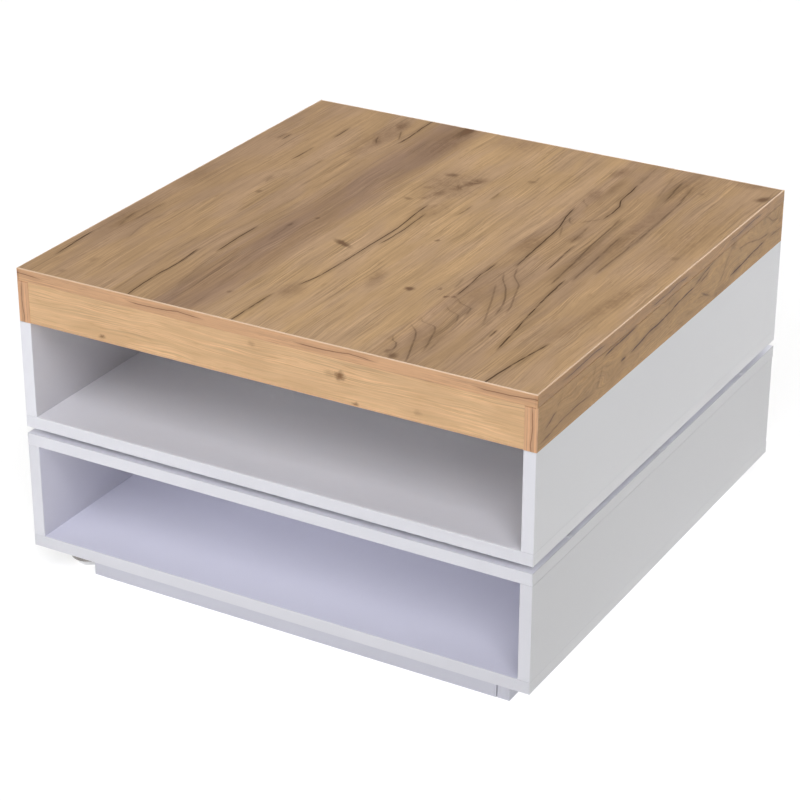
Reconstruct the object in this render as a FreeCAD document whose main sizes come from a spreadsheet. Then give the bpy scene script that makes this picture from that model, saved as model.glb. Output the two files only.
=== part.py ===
import FreeCAD, Part
import math
import operator
import os
from types import SimpleNamespace

import Sketcher

# A two-tier swivel coffee table in millimetres. The open front faces -Y, +X is to the right, +Z is up,
# and the origin is on the floor under the middle of the table.
sizes = {
    # the two tiers
    "table_width": 700.0,
    "table_depth": 700.0,
    "board_thickness": 16.0,
    "apron_height": 54.0,
    "apron_recess": 0.6,
    "upper_side_height": 126.0,
    "lower_side_height": 126.0,
    "lower_side_setback": 1.5,
    # the plinth under the lower tier
    "plinth_height": 54.0,
    "plinth_inset": 52.0,
    "plinth_seam": 1.2,
    # edge bands glued on the cut edges
    "oak_band_thickness": 2.0,
    "oak_band_round": 1.0,
    "white_band_thickness": 1.0,
    "white_band_round": 0.6,
    "band_seam": 0.15,
    # the swivel in the gap between the tiers
    "swivel_gap": 9.0,
    "race_radius": 133.5,
    "inner_ring_width": 15.0,
    "outer_ring_width": 16.0,
    "ring_split": 1.0,
    "ring_clearance": 1.0,
    "ball_radius": 2.0,
    "ball_clearance": 0.12,
    "ball_count": 40,
    # machine screws that hold the inner ring, driven up from the lower compartments
    "inner_screw_radius": 2.5,
    "inner_screw_head_radius": 4.5,
    "inner_screw_head_height": 3.0,
    "inner_screw_bite": 6.0,
    "inner_screw_count": 6,
    "washer_radius": 6.0,
    "washer_thickness": 1.0,
    # wood screws that hold the outer ring, driven up from below
    "outer_screw_radius": 1.75,
    "outer_screw_head_radius": 3.5,
    "outer_screw_head_height": 2.0,
    "outer_screw_bite": 10.0,
    "outer_screw_count": 8,
    # connecting screws through a board into the edge of the next one
    "connector_radius": 3.5,
    "connector_head_radius": 5.0,
    "connector_head_height": 3.0,
    "connector_length": 50.0,
    "connector_tip": 3.0,
    "side_screw_pitch": 250.0,
    "side_screw_count": 3,
    "divider_screw_pitch": 220.0,
    "divider_screw_count": 3,
    "cap_radius": 6.5,
    "cap_height": 1.2,
    "cap_round": 0.5,
    # round recess in a screw head, as shares of that head
    "socket_radius_share": 0.42,
    "socket_depth_share": 0.7,
    "tip_radius_share": 0.4,
    # dowels
    "dowel_radius": 4.0,
    "dowel_length": 24.0,
    "dowel_chamfer": 1.0,
    "top_dowel_bite": 10.0,
    "dowel_pitch": 200.0,
    "dowel_count": 3,
    # corner blocks in the hood and the plinth, with their screws
    "block_width": 26.0,
    "block_height": 40.0,
    "block_screw_radius": 2.0,
    "block_screw_head_radius": 4.0,
    "block_screw_head_height": 2.5,
    "block_screw_bite": 10.0,
    "near_share": 0.31,
    "far_share": 0.69,
    # joining plates between the white sides and the oak side aprons
    "plate_width": 60.0,
    "plate_height": 50.0,
    "plate_thickness": 2.0,
    "plate_place": 110.0,
    "plate_hole_pitch_y": 40.0,
    "plate_hole_pitch_z": 30.0,
    "plate_screw_radius": 1.75,
    "plate_screw_head_radius": 3.5,
    "plate_screw_head_height": 2.0,
    "plate_screw_bite": 11.0,
    # round support feet under the left overhang, placed from the edges of the table
    "foot_radius": 24.0,
    "foot_place_x": 25.0,
    "foot_place_y": 78.0,
    "foot_chamfer": 0.8,
    "foot_pad_radius": 15.0,
    "foot_pad_thickness": 10.0,
    "foot_pad_chamfer": 1.0,
    "foot_stud_radius": 4.0,
    "foot_stud_bite": 12.0,
    "foot_stud_depth": 20.0,
    # room left round every screw, stud and dowel, past its end, and past a board by a through hole
    "hole_clearance": 0.1,
    "hole_end_room": 0.5,
    "cut_overrun": 2.0,
}

signs = {"+": operator.add, "-": operator.sub, "*": operator.mul, "/": operator.truediv}


class Size:
    # a number together with the sheet formula that it comes from
    def __init__(self, value, text):
        self.value = value
        self.text = text

    def __add__(self, other):
        return combined(self, "+", other)

    def __radd__(self, other):
        return combined(other, "+", self)

    def __sub__(self, other):
        return combined(self, "-", other)

    def __rsub__(self, other):
        return combined(other, "-", self)

    def __mul__(self, other):
        return combined(self, "*", other)

    def __rmul__(self, other):
        return combined(other, "*", self)

    def __truediv__(self, other):
        return combined(self, "/", other)

    def __neg__(self):
        return combined(0, "-", self)


def as_size(number):
    if isinstance(number, Size):
        return number
    return Size(number, f"{number:.12g}")


def combined(left, sign, right):
    left = as_size(left)
    right = as_size(right)
    return Size(signs[sign](left.value, right.value), f"({left.text} {sign} {right.text})")


doc = FreeCAD.newDocument("SwivelCoffeeTable")
sheet = doc.addObject("Spreadsheet::Sheet", "Sizes")
for row, (name, value) in enumerate(sizes.items(), start=1):
    sheet.set(f"A{row}", name)
    sheet.set(f"B{row}", str(value))
    sheet.setAlias(f"B{row}", name)
doc.recompute()
size = SimpleNamespace(**{name: Size(value, f"Sizes.{name}") for name, value in sizes.items()})

pieces = []
cuts = []


def bind(thing, name, length):
    thing.setExpression(name, as_size(length).text)


def origin_feature(body, role):
    for feature in body.Origin.OriginFeatures:
        if feature.Role == role:
            return feature
    raise ValueError(role)


def new_body(label, base):
    body = doc.addObject("PartDesign::Body", label)
    body.Label = label
    for axis, length in zip("xyz", base):
        bind(body, f"Placement.Base.{axis}", length)
    pieces.append(body)
    return body


def new_sketch(body, role, rise=0):
    sketch = body.newObject("Sketcher::SketchObject", f"{body.Label}_sketch")
    sketch.AttachmentSupport = [(origin_feature(body, role), "")]
    sketch.MapMode = "FlatFace"
    bind(sketch, "AttachmentOffset.Base.z", rise)
    return sketch


def fix_point(sketch, geometry, point, place):
    # hold a point at its two distances from the sketch's origin
    for kind, length in zip(("DistanceX", "DistanceY"), place):
        length = as_size(length)
        index = sketch.addConstraint(Sketcher.Constraint(kind, -1, 1, geometry, point, length.value))
        sketch.setExpression(f"Constraints[{index}]", length.text)


def draw_outline(sketch, points):
    first = sketch.GeometryCount
    corners = [FreeCAD.Vector(as_size(x).value, as_size(y).value, 0) for x, y in points]
    count = len(corners)
    for index in range(count):
        sketch.addGeometry(Part.LineSegment(corners[index], corners[(index + 1) % count]), False)
    for index in range(count):
        following = first + (index + 1) % count
        sketch.addConstraint(Sketcher.Constraint("Coincident", first + index, 2, following, 1))
        fix_point(sketch, first + index, 1, points[index])


def draw_rectangle(sketch, low, high):
    draw_outline(sketch, [low, (high[0], low[1]), high, (low[0], high[1])])


def draw_circle(sketch, centre, radius):
    middle = FreeCAD.Vector(as_size(centre[0]).value, as_size(centre[1]).value, 0)
    index = sketch.addGeometry(Part.Circle(middle, FreeCAD.Vector(0, 0, 1), radius.value), False)
    fix_point(sketch, index, 3, centre)
    rule = sketch.addConstraint(Sketcher.Constraint("Radius", index, radius.value))
    sketch.setExpression(f"Constraints[{rule}]", radius.text)


def extrude(body, sketch, length):
    pad = body.newObject("PartDesign::Pad", f"{body.Label}_pad")
    pad.Profile = sketch
    bind(pad, "Length", length)
    body.Tip = pad
    return pad


def cut_holes(body, role, rise, reverse, places, radius, depth):
    # round holes from a plane of the body into its solid
    radius = as_size(radius)
    sketch = new_sketch(body, role, rise)
    for place in places:
        draw_circle(sketch, place, radius)
    before = body.Tip
    pocket = body.newObject("PartDesign::Pocket", f"{body.Label}_holes")
    pocket.Profile = sketch
    pocket.Reversed = reverse
    bind(pocket, "Length", depth)
    body.Tip = pocket
    cuts.append((before, pocket))
    return pocket


def round_edges(body, radius, chosen):
    doc.recompute()
    base = body.Tip
    names = []
    for number, edge in enumerate(base.Shape.Edges, start=1):
        if chosen([vertex.Point for vertex in edge.Vertexes]):
            names.append(f"Edge{number}")
    fillet = body.newObject("PartDesign::Fillet", f"{body.Label}_round")
    fillet.Base = (base, names)
    bind(fillet, "Radius", radius)
    body.Tip = fillet


def repeat(body, transforms):
    # copies of all that the body holds so far: mirrored, in a row or round the upright axis
    doc.recompute()
    steps = []
    for kind, role, *rest in transforms:
        if kind == "mirror":
            step = body.newObject("PartDesign::Mirrored", f"{body.Label}_mirror")
            step.MirrorPlane = (origin_feature(body, role), [""])
        elif kind == "row":
            step = body.newObject("PartDesign::LinearPattern", f"{body.Label}_row")
            step.Direction = (origin_feature(body, role), [""])
            step.Mode = "Spacing"
            bind(step, "Offset", rest[0])
            bind(step, "Occurrences", rest[1])
        else:
            step = body.newObject("PartDesign::PolarPattern", f"{body.Label}_circle")
            step.Axis = (origin_feature(body, role), [""])
            bind(step, "Occurrences", rest[0])
        steps.append(step)
    whole = body.newObject("PartDesign::MultiTransform", f"{body.Label}_copies")
    whole.TransformMode = "Whole shape"
    whole.Transformations = steps
    body.Tip = whole


class Board:
    # a panel between two corners, which can be drilled from any face
    def __init__(self, label, low, high):
        self.low = low
        self.span = [top - bottom for bottom, top in zip(low, high)]
        self.body = new_body(label, low)
        sketch = new_sketch(self.body, "XY_Plane")
        draw_rectangle(sketch, (0, 0), (self.span[0], self.span[1]))
        extrude(self.body, sketch, self.span[2])

    def drill(self, face, places, radius, depth):
        # places are in the table's frame, on the two axes that lie in the face
        faces = {
            "bottom": ("XY_Plane", 0, True, (0, 1)),
            "top": ("XY_Plane", self.span[2], False, (0, 1)),
            "left": ("YZ_Plane", 0, True, (1, 2)),
            "right": ("YZ_Plane", self.span[0], False, (1, 2)),
            "front": ("XZ_Plane", 0, False, (0, 2)),
            "back": ("XZ_Plane", -self.span[1], True, (0, 2)),
        }
        role, rise, reverse, axes = faces[face]
        local = [[place[i] - self.low[axes[i]] for i in (0, 1)] for place in places]
        cut_holes(self.body, role, rise, reverse, local, radius, depth)


def turned_group(label, level, place, direction, profile, transforms):
    # pieces of revolution: the profile lists distance along the axis and radius, and the axis starts at
    # the place, on the level, and runs up, to the right or to the back
    body = new_body(label, (0, 0, level))
    stations = [(profile[0][0], 0), *profile, (profile[-1][0], 0)]
    if direction == "up":
        sketch = new_sketch(body, "XZ_Plane", -place[1])
        points = [(place[0] + radius, along) for along, radius in stations]
    elif direction == "right":
        sketch = new_sketch(body, "XZ_Plane", -place[1])
        points = [(place[0] + along, radius) for along, radius in stations]
    else:
        sketch = new_sketch(body, "YZ_Plane", place[0])
        points = [(place[1] + along, radius) for along, radius in stations]
    draw_outline(sketch, points)
    turned = body.newObject("PartDesign::Revolution", f"{label}_turned")
    turned.Profile = sketch
    turned.ReferenceAxis = (sketch, [f"Edge{len(points)}"])
    turned.Angle = 360
    body.Tip = turned
    repeat(body, transforms)


def screw_profile(head_radius, head_height, radius, length, tip):
    # from the recess in the head to the tip
    return [
        (head_height * size.socket_depth_share, head_radius * size.socket_radius_share),
        (zero, head_radius * size.socket_radius_share),
        (zero, head_radius),
        (head_height, head_radius),
        (head_height, radius),
        (length - tip, radius),
        (length, radius * size.tip_radius_share),
    ]


def turned_over(profile, length):
    return [(length - along, radius) for along, radius in reversed(profile)]


def row_places(pitch, count):
    # a row of places centred on zero
    return [(index - (count.value - 1) / 2) * pitch for index in range(int(count.value))]


def circle_places(radius, count):
    # places round the middle, the first one at the back
    angles = [math.pi / 2 + 2 * math.pi * index / count.value for index in range(int(count.value))]
    return [(radius * math.cos(angle), radius * math.sin(angle)) for angle in angles]


def fit(radius):
    return radius + size.hole_clearance


zero = as_size(0)
mirror_x = ("mirror", "YZ_Plane")
mirror_y = ("mirror", "XZ_Plane")
all_corners = [mirror_x, mirror_y]

# Levels from the floor up, and the planes that the boards share
half_width = size.table_width / 2
half_depth = size.table_depth / 2
thick = size.board_thickness
lower_floor_low = size.plinth_height
lower_floor_high = lower_floor_low + thick
lower_side_high = lower_floor_high + size.lower_side_height
lower_top_high = lower_side_high + thick
upper_floor_low = lower_top_high + size.swivel_gap
upper_floor_high = upper_floor_low + thick
upper_side_high = upper_floor_high + size.upper_side_height
apron_high = upper_side_high + size.apron_height
table_high = apron_high + thick
side_inner = half_width - thick
side_middle = half_width - thick / 2
oak_band = size.oak_band_thickness
white_band = size.white_band_thickness
oak_edge = half_depth - oak_band
white_edge = half_depth - white_band
apron_outer_y = half_depth - size.apron_recess
apron_inner_y = apron_outer_y - thick
apron_middle_y = apron_outer_y - thick / 2
plinth_half_width = half_width - size.plinth_inset
plinth_half_depth = half_depth - size.plinth_inset
plinth_inner_x = plinth_half_width - thick
plinth_inner_y = plinth_half_depth - thick


def flat_board(label, band, bottom, top):
    # a full-size board with room for its bands all round
    low = (-(half_width - band), -(half_depth - band), bottom)
    return Board(label, low, (half_width - band, half_depth - band, top))


def side_pair(label, outer, front_edge, back_edge, bottom, top):
    # a left and a right board on edge
    before, after = label
    inner = outer - thick
    left = Board(f"{before}left{after}", (-outer, -front_edge, bottom), (-inner, back_edge, top))
    right = Board(f"{before}right{after}", (inner, -front_edge, bottom), (outer, back_edge, top))
    return left, right


def cross_pair(label, half_length, seam, outer_y, bottom, top):
    # a front and a back board on edge, each with a seam left at its right end, seen from outside
    before, after = label
    inner_y = outer_y - thick
    short = half_length - seam
    front = Board(f"{before}front{after}", (-half_length, -outer_y, bottom), (short, -inner_y, top))
    back = Board(f"{before}back{after}", (-short, inner_y, bottom), (half_length, outer_y, top))
    return front, back


def divider_board(label, bottom, top):
    return Board(label, (-side_inner, -(thick / 2), bottom), (side_inner, thick / 2, top))


# Boards of the upper tier
top_board = flat_board("top_board", oak_band, apron_high, table_high)
side_aprons = side_pair(("", "_apron"), half_width, oak_edge, oak_edge, upper_side_high, apron_high)
apron_low = upper_side_high + oak_band
cross_aprons = cross_pair(("", "_apron"), side_inner, zero, apron_outer_y, apron_low, apron_high)
upper_sides = side_pair(
    ("upper_", "_side"), half_width, white_edge, white_edge, upper_floor_high, upper_side_high
)
upper_floor_board = flat_board("upper_floor_board", white_band, upper_floor_low, upper_floor_high)
upper_divider = divider_board("upper_divider", upper_floor_high, apron_high)

# Boards of the lower tier: its sides stop a little short at the back
lower_top_board = flat_board("lower_top_board", white_band, lower_side_high, lower_top_high)
lower_back_edge = white_edge - size.lower_side_setback
lower_sides = side_pair(
    ("lower_", "_side"), half_width, white_edge, lower_back_edge, lower_floor_high, lower_side_high
)
lower_divider = divider_board("lower_divider", lower_floor_high, lower_side_high)
lower_floor_board = flat_board("lower_floor_board", white_band, lower_floor_low, lower_floor_high)

# Boards of the plinth: a narrow seam is left at one end of the front board and of the back board
plinth_edge = plinth_half_depth - white_band
plinth_sides = side_pair(
    ("plinth_", ""), plinth_half_width, plinth_edge, plinth_edge, zero, size.plinth_height
)
plinth_cross = cross_pair(
    ("plinth_", ""), plinth_inner_x, size.plinth_seam, plinth_half_depth, zero, size.plinth_height
)


def near(left, right):
    return abs(left - as_size(right).value) < size.band_seam.value / 4


def ring_of_bands(label, band, radius, bottom, height):
    # strips round a full-size board: the side strips run through, the others fit between them
    body = new_body(label, (-half_width, -half_depth, bottom))
    sketch = new_sketch(body, "XY_Plane")
    width = size.table_width
    depth = size.table_depth
    inset = band + size.band_seam
    draw_rectangle(sketch, (0, 0), (band, depth))
    draw_rectangle(sketch, (width - band, 0), (width, depth))
    draw_rectangle(sketch, (inset, 0), (width - inset, band))
    draw_rectangle(sketch, (inset, depth - band), (width - inset, depth))
    extrude(body, sketch, height)

    def on_outer_face(points):
        on_side = any(all(near(point.x, x) for point in points) for x in (0, width))
        on_end = any(all(near(point.y, y) for point in points) for y in (0, depth))
        side_strip = any(point.x < (band + inset).value / 2 for point in points)
        side_strip = side_strip or any(point.x > (width - (band + inset) / 2).value for point in points)
        return on_side or (on_end and not side_strip)

    round_edges(body, radius, on_outer_face)


def end_bands(label, outer, front_edge, back_edge, band, radius, bottom, height):
    # strips on the front and back ends of a pair of side boards
    body = new_body(label, (-outer, -front_edge, bottom))
    sketch = new_sketch(body, "XY_Plane")
    whole = front_edge + back_edge
    for left in (zero, outer * 2 - thick):
        draw_rectangle(sketch, (left, 0), (left + thick, band))
        draw_rectangle(sketch, (left, whole - band), (left + thick, whole))
    extrude(body, sketch, height)
    round_edges(body, radius, lambda points: any(all(near(p.y, y) for p in points) for y in (0, whole)))


def bottom_bands(label, half_length, outer_y, band, radius, bottom):
    # strips under the front and back aprons
    body = new_body(label, (-half_length, -outer_y, bottom))
    sketch = new_sketch(body, "XY_Plane")
    for front in (zero, outer_y * 2 - thick):
        draw_rectangle(sketch, (0, front), (half_length * 2, front + thick))
    extrude(body, sketch, band)
    round_edges(body, radius, lambda points: all(near(p.z, 0) for p in points))


# Edge bands
ring_of_bands("top_edge_bands", oak_band, size.oak_band_round, apron_high, thick)
end_bands(
    "apron_end_bands", half_width, half_depth, half_depth, oak_band, size.oak_band_round,
    upper_side_high, size.apron_height
)
bottom_bands("apron_bottom_bands", side_inner, apron_outer_y, oak_band, size.oak_band_round, upper_side_high)
end_bands(
    "upper_side_bands", half_width, half_depth, half_depth, white_band, size.white_band_round,
    upper_floor_high, size.upper_side_height
)
ring_of_bands("upper_floor_bands", white_band, size.white_band_round, upper_floor_low, thick)
ring_of_bands("lower_top_bands", white_band, size.white_band_round, lower_side_high, thick)
end_bands(
    "lower_side_bands", half_width, half_depth, half_depth - size.lower_side_setback, white_band,
    size.white_band_round, lower_floor_high, size.lower_side_height
)
ring_of_bands("lower_floor_bands", white_band, size.white_band_round, lower_floor_low, thick)
end_bands(
    "plinth_end_bands", plinth_half_width, plinth_half_depth, plinth_half_depth, white_band,
    size.white_band_round, zero, size.plinth_height
)

# Connecting screws: through a flat board into the edges of the sides and of the divider
connector = screw_profile(
    size.connector_head_radius, size.connector_head_height, size.connector_radius, size.connector_length,
    size.connector_tip
)
side_screw_row = row_places(size.side_screw_pitch, size.side_screw_count)
divider_screw_row = row_places(size.divider_screw_pitch, size.divider_screw_count)
along_side = [("row", "Y_Axis", size.side_screw_pitch, size.side_screw_count), mirror_x]
along_divider = [("row", "X_Axis", size.divider_screw_pitch, size.divider_screw_count)]


def connect(label, flat, sides, divider, face, level):
    # the heads lie flush in that face of the flat board, at that level
    side_places = [[(x, y) for y in side_screw_row] for x in (-side_middle, side_middle)]
    divider_places = [(x, zero) for x in divider_screw_row]
    bite = size.connector_length - thick + size.hole_end_room
    for board, places in zip((*sides, divider), (*side_places, divider_places)):
        board.drill(face, places, fit(size.connector_radius), bite)
    places = side_places[0] + side_places[1] + divider_places
    flat.drill(face, places, fit(size.connector_radius), thick + size.cut_overrun)
    flat.drill(face, places, fit(size.connector_head_radius), size.connector_head_height)
    profile = connector
    bottom = level
    if face == "top":
        profile = turned_over(connector, size.connector_length)
        bottom = level - size.connector_length
    first_side = (side_middle, side_screw_row[0])
    turned_group(f"{label}_side_screws", bottom, first_side, "up", profile, along_side)
    first_divider = (divider_screw_row[0], zero)
    turned_group(f"{label}_divider_screws", bottom, first_divider, "up", profile, along_divider)


connect("upper_floor", upper_floor_board, upper_sides, upper_divider, "bottom", upper_floor_low)
connect("lower_floor", lower_floor_board, lower_sides, lower_divider, "bottom", lower_floor_low)
connect("lower_top", lower_top_board, lower_sides, lower_divider, "top", lower_top_high)

# Caps in the sockets of the screws that show when the upper tier is turned
cap_stem_radius = size.connector_head_radius * size.socket_radius_share - size.hole_clearance
cap_stem_length = size.connector_head_height * size.socket_depth_share - size.hole_clearance
cap_profile = [
    (zero, cap_stem_radius),
    (cap_stem_length, cap_stem_radius),
    (cap_stem_length, size.cap_radius),
    (cap_stem_length + size.cap_height - size.cap_round, size.cap_radius),
    (cap_stem_length + size.cap_height, size.cap_radius - size.cap_round),
]
cap_low = lower_top_high - cap_stem_length
turned_group("lower_top_screw_caps", cap_low, (side_middle, side_screw_row[0]), "up", cap_profile, along_side)

# Dowels, upright, centred in the thickness of the boards that they join
dowel_row = row_places(size.dowel_pitch, size.dowel_count)
dowel_profile = [
    (zero, size.dowel_radius - size.dowel_chamfer),
    (size.dowel_chamfer, size.dowel_radius),
    (size.dowel_length - size.dowel_chamfer, size.dowel_radius),
    (size.dowel_length, size.dowel_radius - size.dowel_chamfer),
]
dowels_along_y = ("row", "Y_Axis", size.dowel_pitch, size.dowel_count)
dowels_along_x = ("row", "X_Axis", size.dowel_pitch, size.dowel_count)
apron_bite = size.dowel_length - size.top_dowel_bite
half_dowel = size.dowel_length / 2


def dowel_holes(board, face, places, bite):
    board.drill(face, places, fit(size.dowel_radius), bite + size.hole_end_room)


side_dowels = [[(x, y) for y in dowel_row] for x in (-side_middle, side_middle)]
cross_dowels = [[(x, y) for x in dowel_row] for y in (-apron_middle_y, apron_middle_y)]
divider_dowels = [(x, zero) for x in dowel_row]
top_places = side_dowels[0] + side_dowels[1] + cross_dowels[0] + cross_dowels[1] + divider_dowels
dowel_holes(top_board, "bottom", top_places, size.top_dowel_bite)
for apron, side, places in zip(side_aprons, upper_sides, side_dowels):
    dowel_holes(apron, "top", places, apron_bite)
    dowel_holes(apron, "bottom", places, half_dowel)
    dowel_holes(side, "top", places, half_dowel)
for apron, places in zip(cross_aprons, cross_dowels):
    dowel_holes(apron, "top", places, apron_bite)
dowel_holes(upper_divider, "top", divider_dowels, apron_bite)

top_dowel_low = apron_high - apron_bite
side_dowel_place = (side_middle, dowel_row[0])
cross_dowel_place = (dowel_row[0], apron_middle_y)
dowel_columns = [dowels_along_y, mirror_x]
turned_group("top_side_dowels", top_dowel_low, side_dowel_place, "up", dowel_profile, dowel_columns)
turned_group(
    "top_apron_dowels", top_dowel_low, cross_dowel_place, "up", dowel_profile, [dowels_along_x, mirror_y]
)
turned_group(
    "top_divider_dowels", top_dowel_low, (dowel_row[0], zero), "up", dowel_profile, [dowels_along_x]
)
side_dowel_low = upper_side_high - half_dowel
turned_group("side_apron_dowels", side_dowel_low, side_dowel_place, "up", dowel_profile, dowel_columns)

# Corner blocks under a flat board, each held by a screw into each of the three boards that it touches
block = size.block_width
near_part = block * size.near_share
far_part = block * size.far_share
low_part = size.block_height * size.near_share
high_part = size.block_height * size.far_share


def block_screw(reach):
    # a screw through that much of a block and on into a board
    length = size.block_screw_head_height + reach + size.block_screw_bite
    return screw_profile(
        size.block_screw_head_radius, size.block_screw_head_height, size.block_screw_radius, length,
        size.block_screw_radius
    )


def corner_blocks(label, inner_x, inner_y, top, flat, sides, cross):
    # the blocks fill the corners inside a left, right, front and back board
    low = top - size.block_height
    near_x = inner_x - block
    near_y = inner_y - block
    upright = (near_x + near_part, near_y + near_part)
    side_y = near_y + far_part
    cross_x = near_x + far_part
    hole = fit(size.block_screw_radius)
    depth = size.block_screw_bite + size.hole_end_room
    head = size.block_screw_head_height
    through = block + size.cut_overrun

    body = new_body(f"{label}_corner_blocks", (0, 0, low))
    sketch = new_sketch(body, "XY_Plane")
    draw_rectangle(sketch, (near_x, near_y), (inner_x, inner_y))
    extrude(body, sketch, size.block_height)
    cut_holes(body, "XY_Plane", 0, True, [upright], hole, size.block_height + size.cut_overrun)
    cut_holes(body, "YZ_Plane", near_x, True, [(side_y, low_part)], hole, through)
    cut_holes(body, "XZ_Plane", -near_y, False, [(cross_x, high_part)], hole, through)
    repeat(body, all_corners)

    upright_places = [(x, y) for x in (-upright[0], upright[0]) for y in (-upright[1], upright[1])]
    flat.drill("bottom", upright_places, hole, depth)
    for board, face in zip(sides, ("right", "left")):
        board.drill(face, [(y, low + low_part) for y in (-side_y, side_y)], hole, depth)
    for board, face in zip(cross, ("back", "front")):
        board.drill(face, [(x, low + high_part) for x in (-cross_x, cross_x)], hole, depth)

    names = [f"{label}_block_{way}_screws" for way in ("upright", "side", "cross")]
    upright_screw = block_screw(size.block_height)
    level_screw = block_screw(block)
    side_place = (near_x - head, side_y)
    cross_place = (cross_x, near_y - head)
    turned_group(names[0], low - head, upright, "up", upright_screw, all_corners)
    turned_group(names[1], low + low_part, side_place, "right", level_screw, all_corners)
    turned_group(names[2], low + high_part, cross_place, "back", level_screw, all_corners)


corner_blocks("hood", side_inner, apron_inner_y, apron_high, top_board, side_aprons, cross_aprons)
corner_blocks(
    "plinth", plinth_inner_x, plinth_inner_y, size.plinth_height, lower_floor_board, plinth_sides,
    plinth_cross
)

# Joining plates inside, across the seam between the white sides and the oak side aprons
plate_low = upper_side_high - size.plate_height / 2
plate_inner = side_inner - size.plate_thickness
plate_front = size.plate_place - size.plate_width / 2
plate_hole_y = size.plate_place - size.plate_hole_pitch_y / 2
plate_hole_z = size.plate_height / 2 - size.plate_hole_pitch_z / 2
plate_hole = fit(size.plate_screw_radius)
joining_plates = new_body("joining_plates", (0, 0, plate_low))
plate_sketch = new_sketch(joining_plates, "XY_Plane")
draw_rectangle(plate_sketch, (plate_inner, plate_front), (side_inner, plate_front + size.plate_width))
extrude(joining_plates, plate_sketch, size.plate_height)
plate_ys = (plate_hole_y, plate_hole_y + size.plate_hole_pitch_y)
plate_zs = (plate_hole_z, plate_hole_z + size.plate_hole_pitch_z)
plate_places = [(y, z) for y in plate_ys for z in plate_zs]
plate_through = size.plate_thickness + size.cut_overrun
cut_holes(joining_plates, "YZ_Plane", plate_inner, True, plate_places, plate_hole, plate_through)
repeat(joining_plates, all_corners)
plate_bite = size.plate_screw_bite + size.hole_end_room
for boards, z in ((upper_sides, plate_zs[0]), (side_aprons, plate_zs[1])):
    board_places = [(y, plate_low + z) for y in (-plate_ys[1], -plate_ys[0], plate_ys[0], plate_ys[1])]
    for board, face in zip(boards, ("right", "left")):
        board.drill(face, board_places, plate_hole, plate_bite)
plate_screw_length = size.plate_screw_head_height + size.plate_thickness + size.plate_screw_bite
plate_screw = screw_profile(
    size.plate_screw_head_radius, size.plate_screw_head_height, size.plate_screw_radius, plate_screw_length,
    size.plate_screw_radius
)
plate_screw_place = (plate_inner - size.plate_screw_head_height, plate_hole_y)
plate_rows = [
    ("row", "Y_Axis", size.plate_hole_pitch_y, as_size(len(plate_ys))),
    ("row", "Z_Axis", size.plate_hole_pitch_z, as_size(len(plate_zs))),
    mirror_x,
    mirror_y,
]
turned_group(
    "joining_plate_screws", plate_low + plate_hole_z, plate_screw_place, "right", plate_screw, plate_rows
)

# The swivel: the inner ring sits on the lower tier, the outer ring hangs under the upper tier, and balls
# run in a groove that each ring holds half of
race_level = (lower_top_high + upper_floor_low) / 2
ring_height = size.swivel_gap - size.ring_clearance
inner_ring_edge = size.race_radius - size.ring_split / 2
outer_ring_edge = size.race_radius + size.ring_split / 2
groove_radius = size.ball_radius + size.ball_clearance
ring_inner_radius = inner_ring_edge - size.inner_ring_width
ring_outer_radius = outer_ring_edge + size.outer_ring_width
inner_screw_circle = (ring_inner_radius + inner_ring_edge) / 2
outer_screw_circle = (ring_outer_radius + outer_ring_edge) / 2


def swivel_ring(label, bottom, inner, outer):
    # a flat ring with the ball groove in one wall
    body = new_body(label, (0, 0, bottom))
    sketch = new_sketch(body, "XY_Plane")
    draw_circle(sketch, (0, 0), outer)
    draw_circle(sketch, (0, 0), inner)
    extrude(body, sketch, ring_height)
    section = new_sketch(body, "XZ_Plane")
    draw_circle(section, (size.race_radius, race_level - bottom), groove_radius)
    before = body.Tip
    groove = body.newObject("PartDesign::Groove", f"{label}_groove")
    groove.Profile = section
    groove.ReferenceAxis = (origin_feature(body, "Z_Axis"), [""])
    groove.Angle = 360
    body.Tip = groove
    cuts.append((before, groove))
    return body


inner_ring = swivel_ring("swivel_inner_ring", lower_top_high, ring_inner_radius, inner_ring_edge)
inner_places = circle_places(inner_screw_circle, size.inner_screw_count)
inner_hole = fit(size.inner_screw_radius)
cut_holes(inner_ring, "XY_Plane", 0, True, inner_places, inner_hole, ring_height + size.cut_overrun)
lower_top_board.drill("bottom", inner_places, inner_hole, thick + size.cut_overrun)

outer_ring_low = lower_top_high + size.ring_clearance
outer_ring = swivel_ring("swivel_outer_ring", outer_ring_low, outer_ring_edge, ring_outer_radius)
outer_places = circle_places(outer_screw_circle, size.outer_screw_count)
outer_hole = fit(size.outer_screw_radius)
outer_head_hole = fit(size.outer_screw_head_radius)
cut_holes(outer_ring, "XY_Plane", 0, True, outer_places, outer_hole, ring_height + size.cut_overrun)
cut_holes(outer_ring, "XY_Plane", 0, True, outer_places, outer_head_hole, size.outer_screw_head_height)
upper_floor_board.drill("bottom", outer_places, outer_hole, size.outer_screw_bite + size.hole_end_room)

ball = new_body("swivel_balls", (0, 0, race_level))
ball_sketch = new_sketch(ball, "XZ_Plane")
ball_top = FreeCAD.Vector(size.race_radius.value, size.ball_radius.value, 0)
ball_low = FreeCAD.Vector(size.race_radius.value, -size.ball_radius.value, 0)
ball_side = FreeCAD.Vector((size.race_radius + size.ball_radius).value, 0, 0)
ball_sketch.addGeometry(Part.Arc(ball_low, ball_side, ball_top), False)
ball_sketch.addGeometry(Part.LineSegment(ball_top, ball_low), False)
ball_sketch.addConstraint(Sketcher.Constraint("Coincident", 0, 2, 1, 1))
ball_sketch.addConstraint(Sketcher.Constraint("Coincident", 0, 1, 1, 2))
fix_point(ball_sketch, 1, 1, (size.race_radius, size.ball_radius))
fix_point(ball_sketch, 1, 2, (size.race_radius, -size.ball_radius))
ball_sketch.addConstraint(Sketcher.Constraint("PointOnObject", 0, 3, 1))
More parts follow.
